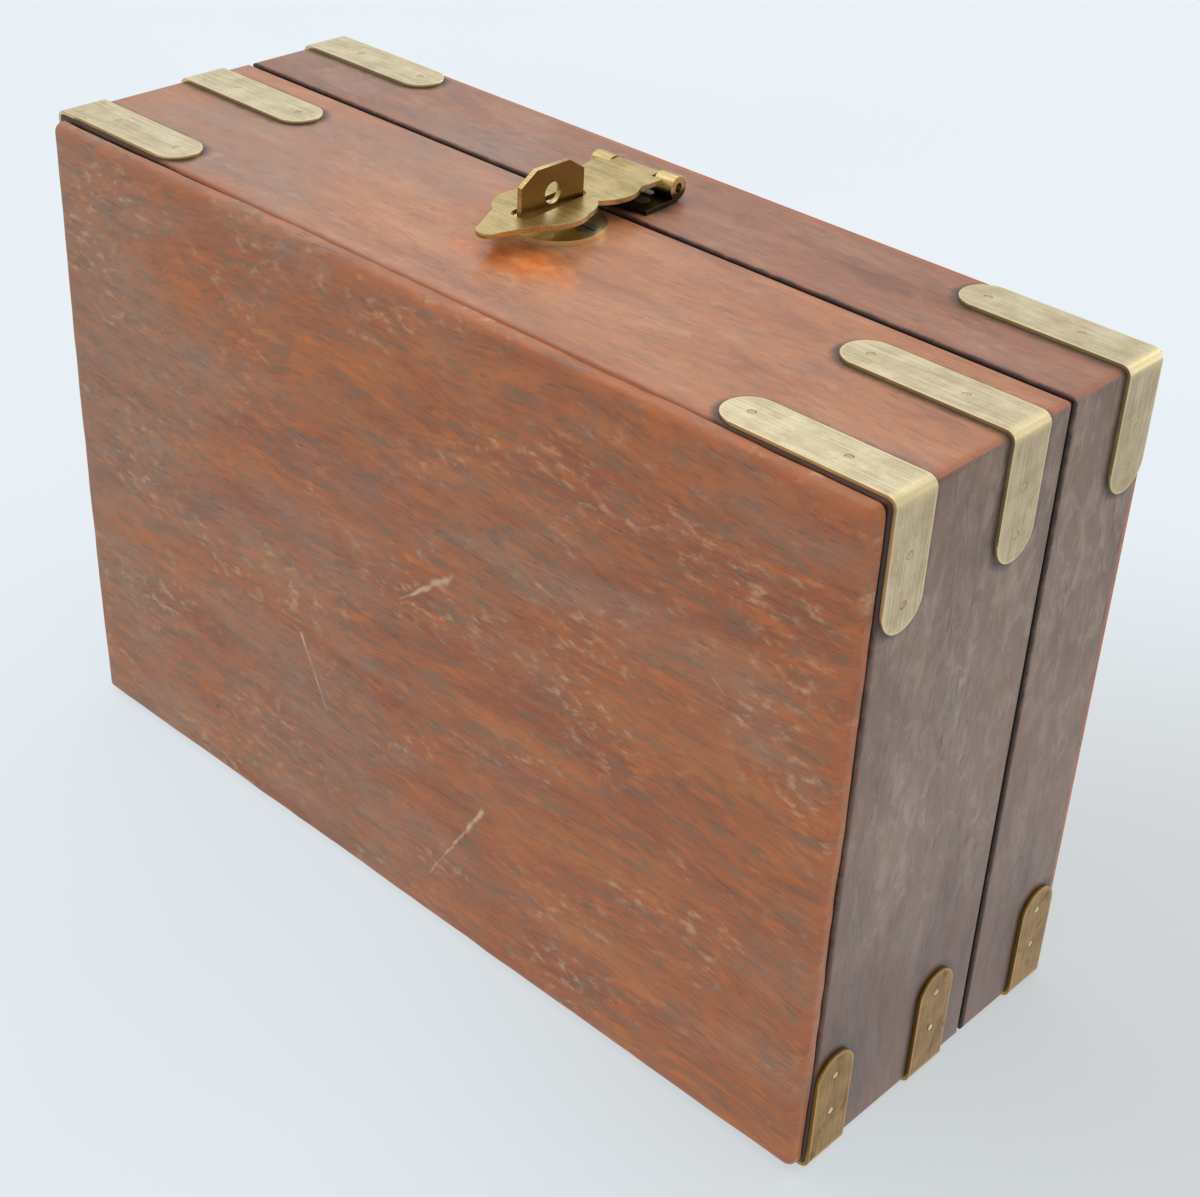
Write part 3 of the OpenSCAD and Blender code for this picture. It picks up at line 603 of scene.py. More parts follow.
# The end walls are a shaded copy of the wood: their dark colours are painted shade, their pale grey patches are
# partly dust and partly painted sheen, and these thin out towards the back as painted shade.
END = WoodFinish(
    dark=srgb(82, 52, 36), middle=srgb(102, 68, 48), light=srgb(118, 78, 54), streak=srgb(72, 54, 44),
    patina_and_sheen=srgb(184, 168, 152), worn=srgb(112, 66, 44), grime_and_shade=srgb(44, 34, 30), scratch=srgb(176, 148, 132),
    haze=srgb(120, 112, 106), warm=srgb(140, 96, 72), patina_and_sheen_share=0.74, haze_share=0.16,
    evenness=0.16, bare=0.2, scratch_share=0.06, worn_share=0.35, patina_gradient=(1, 0.085, 0.0),
)
INSIDE = WoodFinish(
    dark=srgb(112, 64, 42), middle=srgb(156, 96, 62), light=srgb(174, 112, 74), streak=srgb(100, 60, 44),
    patina_and_sheen=srgb(130, 88, 66), worn=srgb(178, 122, 86), grime_and_shade=srgb(74, 50, 38), scratch=srgb(190, 144, 112),
    roughness=0.5, patina_and_sheen_share=0.35, scratch_share=0.12, worn_share=0.35,
)


@dataclass(frozen=True)
class Mark:
    """One crack, dent or scratch in a board's face.

    Attributes:
        start, end: Its ends, the second the thinner one.
        width: Half of its width.
        colour: Its colour.
    """

    start: Triple
    end: Triple
    width: float
    colour: Colour


CRACK, SCAR = srgb(40, 28, 24), srgb(220, 190, 154)
UNDERSIDE_MARKS = (
    Mark((-0.1258, 0.0588, 0.001), (-0.104, 0.0482, 0.0), 0.4 * MM, CRACK),
    Mark((-0.0727, 0.0634, 0.0), (-0.0724, 0.0636, 0.0), 1.1 * MM, CRACK),
    Mark((0.0176, -0.0194, 0.0), (0.0004, -0.0054, 0.0), 1.3 * MM, SCAR),
    Mark((0.0285, 0.0403, 0.0), (0.0105, 0.0696, 0.0), 0.8 * MM, SCAR),
    Mark((-0.036, 0.022, 0.0), (-0.027, 0.041, 0.0), 0.6 * MM, SCAR),
)


@dataclass(frozen=True)
class WoodLook:
    """One board's own material.

    Attributes:
        node: Name of the solid that it is for.
        finish, grain: Kind of wood and axis of the grain.
        seed: Offset that makes the board's figure its own.
        side: Outer face that the board lies on.
        strap_levels, joints: Middle heights of the straps on it, and heights of the open joints.
        marks: Cracks and scratches in its face.
        polished: Middle and reach of an orange polished patch, if it has one.
        under: Middle and reach of the painted black shadow under the hasp's leaf, if it carries it.
    """

    node: str
    finish: WoodFinish
    grain: Grain
    seed: float
    side: Side = Side.NONE
    strap_levels: tuple[float, ...] = ()
    joints: tuple[float, ...] = ()
    marks: tuple[Mark, ...] = ()
    polished: tuple[Vector, Vector] | None = None
    under: tuple[Vector, Vector] | None = None

    def material(self) -> Material:
        """Build the board's material from its finish and its place.

        Returns:
            The material.
        """
        f = self.finish
        material, g, shader = new_material(self.node + "_wood", Specular_IOR_Level=0.45)
        here = g.place()
        board = g.place(self.grain, (self.seed * 0.37, self.seed * 0.113, self.seed * 0.071))
        figure = g.use(FIGURE, Vector=board)
        colour = g.ramp(figure["Bands"], ((0.0, f.dark), (0.48, f.middle), (1.0, f.light)))
        colour = g.tint(colour, f.streak, figure["Streaks"], 0.5)
        colour = g.tint(colour, f.warm, figure["Warm"], f.haze_share)
        # Dull patches: old polish, and on the front, lid and end walls partly painted sheen and shade.
        dull = g.times(self.patina_and_sheen_patches(g, here, board), g.spread(figure["Mottle"], 0.0, 1.0, 0.55, 1.0))
        colour = g.tint(colour, f.patina_and_sheen, dull, f.patina_and_sheen_share)
        colour = g.tint(colour, f.haze, figure["Haze"], f.haze_share)
        colour = g.tint(colour, f.streak, figure["Pores"], 0.55)
        rough = g.plus(f.roughness, g.times(g.minus(dull, figure["Streaks"]), 0.08))
        if self.polished:
            ragged = g.sway(g.noise(here, 130.0, 6.0, 0.75), 2.4)
            glow = g.spread(g.plus(g.oval(here, *self.polished), ragged), 0.2, 1.0, 0.85, 0.0)
            colour = g.mix(glow, colour, g.mix(figure["Mottle"], srgb(216, 112, 52), srgb(246, 156, 84)))
            rough = g.minus(rough, g.times(glow, 0.12))
        low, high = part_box(self.node)
        wear = g.use(WEAR, Vector=here, Middle=(low + high) / 2, Half=(high - low) / 2, Width=2.4 * MM)
        colour = g.tint(colour, f.worn, wear["Mask"], f.worn_share)
        scratched = g.use(SCRATCHES, Vector=self.face_plane(g, here))
        rubbed = g.most(g.times(scratched["Mask"], 0.8), scratched["Flecks"])
        colour = g.tint(colour, f.scratch, rubbed, f.scratch_share)
        for mark in self.marks:
            line = g.use(LINE, Vector=here, Start=mark.start, End=mark.end, Width=mark.width)
            colour = g.tint(colour, mark.colour, line["Mask"], 0.85)
        # Dark soiling round the straps and in the joints, and the painted shadow under the hasp's leaf, in one
        # colour.
        if self.side is not Side.NONE:
            colour = g.mix(self.dirt_and_leaf_shade(g, here), colour, f.grime_and_shade)
        height = g.minus(figure["Height"], g.times(rubbed, 0.5))
        g.surface(shader, colour, rough, height, strength=0.2, depth=0.22 * MM)
        return material

    def patina_and_sheen_patches(self, g: Graph, here: Socket, board: Socket) -> Socket:
        """Build the patches of dull old polish and painted sheen, which grow along the finish's axis; on the end
        walls they thin towards the back as painted shade.

        Args:
            g: Graph of the material.
            here: The object's coordinates.
            board: The board's own coordinates along its grain.

        Returns:
            The mask.
        """
        low, high = 0.42, 0.66
        if self.finish.patina_gradient:
            axis, start, end = self.finish.patina_gradient
            grown = g.spread(g.parts(here)[axis], start, end, -self.finish.bare, 0.16)
            low, high = g.minus(0.5 - self.finish.evenness, grown), g.minus(0.74 + self.finish.evenness, grown)
        return g.use(PATCHES, Vector=g.vector("MULTIPLY", board, (13.0, 30.0, 30.0)), Low=low, High=high)["Mask"]

    def face_plane(self, g: Graph, here: Socket) -> Socket:
        """Bring the board's broad face into the XY plane of a vector.

        Args:
            g: Graph of the material.
            here: The object's coordinates.

        Returns:
            The turned coordinates.
        """
        x, y, z = g.parts(here)
        if self.side is Side.LONG:
            return g.joined(x, z, y)
        return g.joined(y, z, x) if self.side is Side.END else here

    def joint(self, g: Graph, here: Socket, height: Socket, level: float) -> Socket:
        """Measure the distance to an open joint; the one over the base board is shut in its middle.

        Args:
            g: Graph of the material.
            here: The object's coordinates.
            height: Height of the place.
            level: Height of the joint.

        Returns:
            The distance.
        """
        off = g.math("ABSOLUTE", g.minus(height, level))
        if level == CASE.base_low:
            off = g.plus(off, 0.3 * MM)
            if self.side is Side.LONG:
                x = g.parts(here)[0]
                shut = g.times(g.spread(x, -0.085, -0.045), g.spread(x, 0.1, 0.07))
                off = g.plus(off, g.times(shut, 10 * MM))
        return off

    def dirt_and_leaf_shade(self, g: Graph, here: Socket) -> Socket:
        """Build the dark soiling round the straps and along the joints, and the painted shadow under the hasp's leaf.

        Args:
            g: Graph of the material.
            here: The object's coordinates.

        Returns:
            The mask.
        """
        along, depth, height = case_edges(g, here)
        reach = CASE.long_reach
        if self.side is Side.END:
            along, depth, reach = depth, along, CASE.short_reach
        ragged = g.times(g.noise(here, 240.0, 5.0, 0.7), 3.0 * MM)
        nearest: object = 1.0
        for level in self.strap_levels:
            nearest = g.least(nearest, strap_distance(g, along, g.minus(height, level), reach))
        gap: object = 1.0
        for level in self.joints:
            gap = g.least(gap, self.joint(g, here, height, level))
        by_strap, in_joint = g.minus(ragged, 1.5 * MM), g.minus(g.times(ragged, 0.5), 0.7 * MM)
        found = g.most(
            g.spread(g.plus(nearest, by_strap), 0.0, 2.8 * MM, 0.9, 0.0),
            g.spread(g.plus(gap, in_joint), 0.1 * MM, 1.0 * MM, 0.95, 0.0),
        )
        # Painted shadow of the hasp's leaf: the wall under it is darkened almost black.
        if self.under:
            off = g.plus(g.oval(here, *self.under), g.times(ragged, 90.0))
            found = g.most(found, g.spread(off, 0.85, 1.25, 0.95, 0.0))
        return g.times(found, g.spread(depth, 2.0 * MM, 3.4 * MM, 1.0, 0.0))

    def dress(self, piece: Object | None = None) -> None:
        """Give the solid, or the piece that stands for it, its material.

        Args:
            piece: The piece, where one stands for the solid.
        """
        dressed = piece or frame["nodes"][self.node]
        dressed.data.materials.clear()
        dressed.data.materials.append(self.material())
        log.info("%s: wood, grain along %s", dressed.name, self.grain.name.lower())


# ---- metal

@dataclass(frozen=True)
class MetalFinish:
    """Colours and surface of one kind of metal.

    Attributes:
        name: Name of the finish.
        clean: Colour of rubbed metal, also painted as a highlight on a strap's bend.
        light, middle, dark: Colours of the streaks.
        tarnish, tarnish_share: Colour and strength of the tarnish.
        roughness: Middle roughness.
        slot: Material slot of the record; not used.
    """

    name: str
    clean: Colour
    light: Colour
    middle: Colour
    dark: Colour
    tarnish: Colour
    tarnish_share: float
    roughness: float
    slot: str = "brass"


BRASS = MetalFinish(
    "brass", srgb(236, 218, 166), srgb(232, 220, 186), srgb(218, 204, 168), srgb(200, 184, 146),
    tarnish=srgb(138, 114, 82), tarnish_share=0.36, roughness=0.34,
)
# Darker brass: tarnish, and on the back straps also painted shade.
DULL_AND_SHADED_BRASS = MetalFinish(
    "dull_and_shaded_brass", srgb(186, 150, 82), srgb(168, 134, 66), srgb(150, 116, 54), srgb(130, 98, 44),
    tarnish=srgb(82, 60, 32), tarnish_share=0.55, roughness=0.42,
)
PIN_BRASS = MetalFinish(
    "pin_brass", srgb(216, 200, 154), srgb(212, 196, 154), srgb(198, 180, 138), srgb(180, 160, 118),
    tarnish=srgb(110, 88, 54), tarnish_share=0.5, roughness=0.42,
)
HASP_BRASS = MetalFinish(
    "hasp_brass", srgb(232, 212, 152), srgb(214, 194, 140), srgb(198, 176, 120), srgb(176, 154, 100),
    tarnish=srgb(122, 98, 58), tarnish_share=0.42, roughness=0.32,
)
STEEL = MetalFinish(
    "steel", srgb(206, 204, 198), srgb(190, 188, 182), srgb(160, 158, 154), srgb(128, 126, 122),
    tarnish=srgb(90, 78, 66), tarnish_share=0.5, roughness=0.4, slot="screw_steel",
)
# The first colour is black painted as shade on the hasp by the wall; the last is the staple's foot painted bright as
# light.
PAINTED_SHADE_BLACK, AMBER, PAINTED_LIGHT_FOOT = srgb(38, 28, 18), srgb(122, 84, 30), srgb(244, 224, 166)


def select_none() -> None:
    """Select nothing."""
    bpy.ops.object.select_all(action="DESELECT")


def select_only(piece: Object) -> None:
    """Make one object the only selected and the active one.

    Args:
        piece: The object.
    """
    select_none()
    piece.select_set(True)
    bpy.context.view_layer.objects.active = piece


def apply_modifier(piece: Object, kind: str, **settings: object) -> None:
    """Add a modifier, set it and apply it.

    Args:
        piece: Object that it is for.
        kind: Type of the modifier.
        **settings: Its properties.
    """
    select_only(piece)
    modifier = piece.modifiers.new(kind.title(), kind)
    for name, value in settings.items():
        setattr(modifier, name, value)
    bpy.ops.object.modifier_apply(modifier=modifier.name)


def place_in_scene(piece: Object) -> None:
    """Link an object to the scene."""
    bpy.context.scene.collection.objects.link(piece)


def body_of(node: str) -> str:
    """Return the name of the body that a solid rides on."""
    return frame["nodes"][node]["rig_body"]


@dataclass
class FiledMetal:
    """A brass or steel solid copied, with its sharp edges filed round.

    Attributes:
        node: Name of the solid.
        finish: Metal that it is made of.
        edge: Width of the filed edge.
        strap_level: Middle height of the strap, where it is one.
        shade_band: Places along Y between which the metal, close to the wall, is painted black as shade, if it is.
        flank: Whether it is the staple, with darker amber faces turned along X and its foot painted brighter as
            painted light.
    """

    node: str
    finish: MetalFinish
    edge: float = 0.22 * MM
    strap_level: float | None = None
    shade_band: tuple[float, float] | None = None
    flank: bool = False

    def build(self) -> None:
        """Copy the solid, merge it, file its edges and dress it."""
        piece = bpy.data.objects.new(self.node + "_filed", frame["nodes"][self.node].data.copy())
        place_in_scene(piece)
        select_only(piece)
        bpy.ops.mesh.customdata_custom_splitnormals_clear()
        bpy.ops.object.mode_set(mode="EDIT")
        bpy.ops.mesh.select_all(action="SELECT")
        bpy.ops.mesh.remove_doubles(threshold=1e-6)
        bpy.ops.mesh.dissolve_limited(angle_limit=math.radians(0.5))
        bpy.ops.object.mode_set(mode="OBJECT")
        apply_modifier(
            piece, "BEVEL", width=self.edge, segments=2, limit_method="ANGLE", angle_limit=math.radians(38),
            use_clamp_overlap=True,
        )
        bpy.ops.object.shade_smooth_by_angle(angle=math.radians(32))
        apply_modifier(piece, "WEIGHTED_NORMAL", weight=100, keep_sharp=True)
        piece.data.materials.clear()
        piece.data.materials.append(self.material())
        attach(piece, body_of(self.node))
        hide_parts(self.node)
        log.info("%s: filed %s, %d faces", piece.name, self.finish.name, len(piece.data.polygons))

    def material(self) -> Material:
        """Build the metal's material.

        Returns:
            The material.
        """
        f = self.finish
        material, g, shader = new_material(f"{self.node}_{f.name}", Metallic=1.0)
        here = along = g.place()
        if self.strap_level is not None:
            on_end = g.math("LESS_THAN", case_edges(g, here)[0], 0.0)
            along = g.node("Mix", {0: on_end, 4: here, 5: g.place(Grain.WIDTH)}, data_type="VECTOR").outputs[1]
        surface = g.use(BRUSHED, Vector=along)
        colour = g.ramp(surface["Streaks"], ((0.0, f.dark), (0.5, f.middle), (1.0, f.light)))
        colour = g.tint(colour, f.tarnish, surface["Tarnish"], f.tarnish_share)
        colour = g.tint(colour, f.tarnish, surface["Pits"], 0.6)
        if self.strap_level is not None:
            colour = self.rub_rims_and_paint_bend(g, here, g.tint(colour, f.tarnish, on_end, 0.3))
        # Painted shade: the hasp's metal turns black where it lies close to the wall, in the shadow between metal and
        # wall.
        if self.shade_band:
            colour = g.mix(g.spread(g.parts(here)[1], *self.shade_band, 0.0, 0.94), colour, PAINTED_SHADE_BLACK)
        if self.flank:
            facing = g.math("ABSOLUTE", g.parts(g.node("TexCoord").outputs["Normal"])[0])
            colour = g.mix(g.spread(facing, 0.8, 0.98, 0.0, 0.8), colour, AMBER)
            # Painted light: the foot by the wall, in the shadow of the hasp's plate, is painted bright.
            foot = g.spread(g.parts(here)[1], -CASE.half_w - 3.0 * MM, -CASE.half_w - 2.0 * MM)
            colour = g.mix(foot, colour, PAINTED_LIGHT_FOOT)
        rough = g.plus(f.roughness, g.times(surface["Tarnish"], 0.16))
        g.surface(shader, colour, rough, surface["Height"], strength=0.25, depth=0.08 * MM)
        return material

    def rub_rims_and_paint_bend(self, g: Graph, here: Socket, colour: Socket) -> Socket:
        """Brighten a strap's rubbed rims, and paint a highlight on its bend round the corner.

        Args:
            g: Graph of the material.
            here: The object's coordinates.
            colour: Colour so far.

        Returns:
            The colour with the rubbed rims and the painted highlight over it.
        """
        from_end, from_side, height = case_edges(g, here)
        across = g.minus(height, self.strap_level)
        # Painted highlight on the strap's bend round the corner; the rims are rubbed metal.
        bend = g.spread(g.most(from_end, from_side), 0.6 * MM, 2.6 * MM, 0.6, 0.0)
        on_long = strap_distance(g, from_end, across, CASE.long_reach)
        on_end = strap_distance(g, from_side, across, CASE.short_reach)
        rim = g.spread(g.least(g.most(on_long, on_end), 0.0), -0.9 * MM, -0.1 * MM, 0.0, 0.55)
        return g.mix(g.most(rim, bend), colour, self.finish.clean)


# ---- pieces

def held(value: float, start: float, end: float) -> float:
    """Return how far a value has come from a start to an end, between 0 and 1."""
    return min(max((value - start) / (end - start), 0.0), 1.0)


@dataclass
class WornBoard:
    """The base board, modelled again with its edges worn round and its rim curled off the walls.

    Attributes:
        look: Its wood.
        cell, rows: Size of a mesh cell, and rows of cells that make the round of the lower edge.
        round_edge, round_plan: Radius of the lower edges and of the corners in plan.
        rim, wear: Width of the rim that is worn, and most that it lost.
        swell: How far the middle of the front rim comes forward.
        left_draw, right_swell: How far the left rim draws in at its ends and the right one comes out.
        curl: Widest gap under the walls.
        left_curl, right_curl: Places along X between which the ends curl.
        right_share: How much the right end curls of what the left end does.
        chip: How far the ragged lower rim is worn up.
    """

    look: WoodLook
    cell: float = 1.6 * MM
    rows: int = 5
    round_edge: float = 2.0 * MM
    round_plan: float = 1.9 * MM
    rim: float = 7.0 * MM
    wear: float = 0.5 * MM
    swell: float = 1.3 * MM
    left_draw: float = 1.6 * MM
    right_swell: float = 0.8 * MM
    curl: float = 1.2 * MM
    left_curl: tuple[float, float] = (-0.045, -0.105)
    right_curl: tuple[float, float] = (0.07, 0.1)
    right_share: float = 0.4
    chip: float = 0.35 * MM

    def build(self) -> None:
        """Make a block of fine cells, wear it and dress it."""
        low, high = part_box(self.look.node)
        size, middle = high - low, (low + high) / 2
        select_none()
        cells = {"x_subdivisions": round(size.x / self.cell), "y_subdivisions": round(size.y / self.cell)}
        bpy.ops.mesh.primitive_grid_add(size=1.0, **cells)
        board = bpy.context.active_object
        board.name = board.data.name = "worn_base_board"
        board.scale = (size.x, size.y, 1.0)
        board.location = (middle.x, middle.y, low.z)
        bpy.ops.object.transform_apply(location=True, rotation=True, scale=True)
        apply_modifier(board, "SOLIDIFY", thickness=size.z, offset=1.0)
        for vertex in board.data.vertices:
            vertex.co = self.worn(vertex.co - middle, size / 2) + middle
        bpy.ops.object.shade_smooth_by_angle(angle=math.radians(50))
        self.look.dress(board)
        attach(board, body_of(self.look.node))
        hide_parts(self.look.node)

    def inward(self, off: float) -> float:
        """Draw the outer rows of cells together, so that they follow the round of the edge.

        Args:
            off: Distance of an even cell from the board's edge.

        Returns:
            Its distance once the rows are drawn together.
        """
        outer, inner = self.rows * self.cell, 4 * self.rows * self.cell
        if off < outer:
            return self.round_edge * (1 - math.cos(off / outer * math.pi / 2))
        if off < inner:
            return self.round_edge + (off - outer) / (inner - outer) * (inner - self.round_edge)
        return off

    def worn(self, place: Vector, half: Vector) -> Vector:
        """Move a point of the plain block to the worn board.

        Args:
            place: The point, from the block's middle.
            half: Half of the block's size.

        Returns:
            The moved point.
        """
        off_x, off_y = self.inward(half.x - abs(place.x)), self.inward(half.y - abs(place.y))
        arc = max(self.round_edge - min(off_x, off_y), 0.0)
        corner = Vector((max(self.round_plan - off_x, 0.0), max(self.round_plan - off_y, 0.0)))
        if corner.x > 0 and corner.y > 0:
            corner *= max(corner) / corner.length
            off_x, off_y = self.round_plan - corner.x, self.round_plan - corner.y
        rim_x, rim_y = max(1 - off_x / self.rim, 0.0) ** 2, max(1 - off_y / self.rim, 0.0) ** 2
        rim = max(rim_x, rim_y)
        ragged = 0.5 + 0.5 * noise.noise(place * 45) + 0.35 * noise.noise(place * 160)
        draw = self.left_draw * (place.y / half.y) ** 2 if place.x < 0 else -self.right_swell
        x = half.x - off_x - rim_x * (self.wear * ragged + draw)
        y = half.y - off_y - rim_y * (self.wear * ragged - (self.swell if place.y < 0 else 0.0))
        if place.z > 0:
            bent = held(place.x, *self.left_curl) + self.right_share * held(place.x, *self.right_curl)
            z = half.z - self.curl * bent * rim
        else:
            z = self.round_edge - math.sqrt(self.round_edge ** 2 - arc ** 2) - half.z
            z += self.chip * max(ragged, 0.0) * rim * (1 - arc / self.round_edge)
        return Vector((math.copysign(x, place.x), math.copysign(y, place.y), z))


@dataclass
class Case:
    """The wooden walls and boards of the base and the lid.

    Attributes:
        patch: Middle and reach of the polished patch on the front.
        leaf_reach: How far the painted shadow under the hasp's leaf reaches, in sizes of the leaf.
    """

    patch: tuple[Vector, Vector] = (Vector((0.0085, -CASE.half_w, 0.0275)), Vector((0.022, 0.02, 0.0095)))
    leaf_reach: float = 0.6

    def boards(self) -> list[WoodLook]:
        """List the boards with their looks.

        Returns:
            The walls of the base and the lid, and the lid board.
        """
        low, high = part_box("hasp_leaf")
        leaf = Vector(((low.x + high.x) / 2, -CASE.half_w, (low.z + high.z) / 2)), (high - low) * self.leaf_reach
        own = {"base_front_wall": {"polished": self.patch}, "lid_front_wall": {"under": leaf}}
        boards = [WoodLook("lid_board", UNDERSIDE, Grain.LENGTH, 6.0)]
        for part, finish, seed, levels, joints in (
            ("base", FRONT, 2.0, (CASE.lower_mid, CASE.upper_mid), (CASE.base_low, CASE.base_high)),
            ("lid", LID, 7.0, (CASE.lid_mid,), (CASE.lid_low,)),
        ):
            for step, wall in enumerate(("front_wall", "back_wall", "left_end", "right_end")):
                node = f"{part}_{wall}"
                kind = (finish, Grain.LENGTH, seed + step, Side.LONG)
                if wall.endswith("end"):
                    kind = (END, Grain.WIDTH, seed + step, Side.END)
                boards.append(WoodLook(node, *kind, levels, joints, **own.get(node, {})))
        return boards

    def build(self) -> None:
        """Wear the base board and dress every other board."""
        WornBoard(WoodLook("base_board", UNDERSIDE, Grain.LENGTH, 1.0, marks=UNDERSIDE_MARKS)).build()
        for board in self.boards():
            board.dress()


@dataclass
class Straps:
    """The twelve corner straps and their pins."""

    def build(self) -> None:
        """File and dress every strap, and then the pins."""
        levels = {"lower_strap": CASE.lower_mid, "upper_strap": CASE.upper_mid, "lid_strap": CASE.lid_mid}
        for family, level in levels.items():
            for corner in ("front_left", "front_right", "back_left", "back_right"):
                # The back straps take the darker brass, partly tarnish and partly painted shade.
                finish = DULL_AND_SHADED_BRASS if corner.startswith("back") else BRASS
                FiledMetal(f"{family}_{corner}", finish, strap_level=level).build()
        for node in ("base_strap_pins", "lid_strap_pins"):
            FiledMetal(node, PIN_BRASS, 0.25 * MM).build()


@dataclass
class Hardware:
    """The hasp, the staple, the hinges and their screws."""

    def build(self) -> None:
        """File and dress every piece."""
        wall = -CASE.half_w
        FiledMetal("hasp_plate", HASP_BRASS, 0.35 * MM, shade_band=(wall - 2.6 * MM, wall - 1.4 * MM)).build()
        FiledMetal("hasp_leaf", HASP_BRASS, 0.3 * MM, shade_band=(wall - 3.4 * MM, wall - 2.0 * MM)).build()
        FiledMetal("hasp_pin", DULL_AND_SHADED_BRASS, 0.2 * MM).build()
        FiledMetal("staple", HASP_BRASS, 0.55 * MM, flank=True).build()
        parts = ("base_leaf", "lid_leaf", "pin")
        hinges = tuple(f"{side}_hinge_{part}" for side in ("left", "right") for part in parts)
        small = (
            "base_hinge_screws", "lid_hinge_screws", "board_hinge_screws", "board_leaf_screws",
            "board_hinge_fixed_leaves", "board_hinge_moving_leaves", "board_hinge_pins",
        )
        steel = ("hasp_screws", "staple_screws")
        for nodes, finish, edge in ((steel, STEEL, 0.12), (hinges, BRASS, 0.15), (small, BRASS, 0.08)):
            for node in nodes:
                FiledMetal(node, finish, edge * MM).build()


@dataclass
class Fittings:
    """The wooden pieces inside the box.

    Attributes:
        first_seed: Seed of the first of them.
    """

    first_seed: float = 11.0

    def build(self) -> None:
        """Dress every inner board."""
        for step, (node, grain) in enumerate((
            ("divider", Grain.LENGTH), ("left_partition", Grain.WIDTH), ("right_partition", Grain.WIDTH),
            ("tray_cleats", Grain.WIDTH), ("pen_tray", Grain.LENGTH), ("front_ledge", Grain.LENGTH),
            ("left_ledge", Grain.WIDTH), ("right_ledge", Grain.WIDTH), ("writing_board", Grain.LENGTH),
        )):
            WoodLook(node, INSIDE, grain, self.first_seed + step).dress()


@dataclass
class Baize:
    """The cloth that lies glued on the writing board.

    Attributes:
        slope: Slope of the writing board.
        thickness: Thickness of the cloth.
        nap, rim: Share of the thickness that the mesh takes up, and width of its soft rim.
        cells: Cells of its grid along its width and its length.
    """

    slope: float = math.radians(16)
    thickness: float = 0.8 * MM
    nap: float = 0.94
    rim: float = 0.3 * MM
    cells: tuple[int, int] = (72, 40)

    def build(self) -> None:
        """Lay a fine grid on the board, give it thickness and a soft rim."""
        low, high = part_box("baize")
        width = high.x - low.x
        length = (high.y - low.y - self.thickness * math.sin(self.slope)) / math.cos(self.slope)
        select_none()
        bpy.ops.mesh.primitive_grid_add(x_subdivisions=self.cells[0], y_subdivisions=self.cells[1], size=1.0)
        cloth = bpy.context.active_object
        cloth.name = cloth.data.name = "baize_cloth"
        cloth.scale = (width, length, 1.0)
        cloth.rotation_euler = (self.slope, 0.0, 0.0)
        rise = Vector((0.0, -math.sin(self.slope), math.cos(self.slope))) * self.thickness * 0.5
        cloth.location = (low + high) / 2 - rise
        bpy.ops.object.transform_apply(location=True, rotation=True, scale=True)
        apply_modifier(cloth, "SOLIDIFY", thickness=self.thickness * self.nap, offset=1.0)
        apply_modifier(cloth, "BEVEL", width=self.rim, segments=2, limit_method="ANGLE", angle_limit=math.radians(50))
        bpy.ops.object.shade_smooth_by_angle(angle=math.radians(40))
        cloth.data.materials.append(self.material())
        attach(cloth, body_of("baize"))
        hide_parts("baize")
        log.info("baize_cloth: %.0f x %.0f mm laid on the writing board", width / MM, length / MM)

    def material(self) -> Material:
        """Build the felted green wool.

        Returns:
            The material.
        """
        material, g, shader = new_material("baize_wool", Sheen_Weight=0.35, Sheen_Roughness=0.5)
        here = g.place()
        fibre = g.noise(g.vector("MULTIPLY", here, (1.0, 1.0, 0.3)), 2600.0, 3.0, 0.7)
        worn = g.spread(g.noise(here, 26.0, 4.0, 0.6), 0.5, 0.75)
        colour = g.ramp(fibre, ((0.3, srgb(28, 62, 40)), (0.7, srgb(62, 104, 70))))
        colour = g.tint(colour, srgb(96, 118, 84), worn, 0.35)
        g.surface(shader, colour, 0.95, fibre, strength=0.5, depth=0.2 * MM)
        return material


# ---- studio

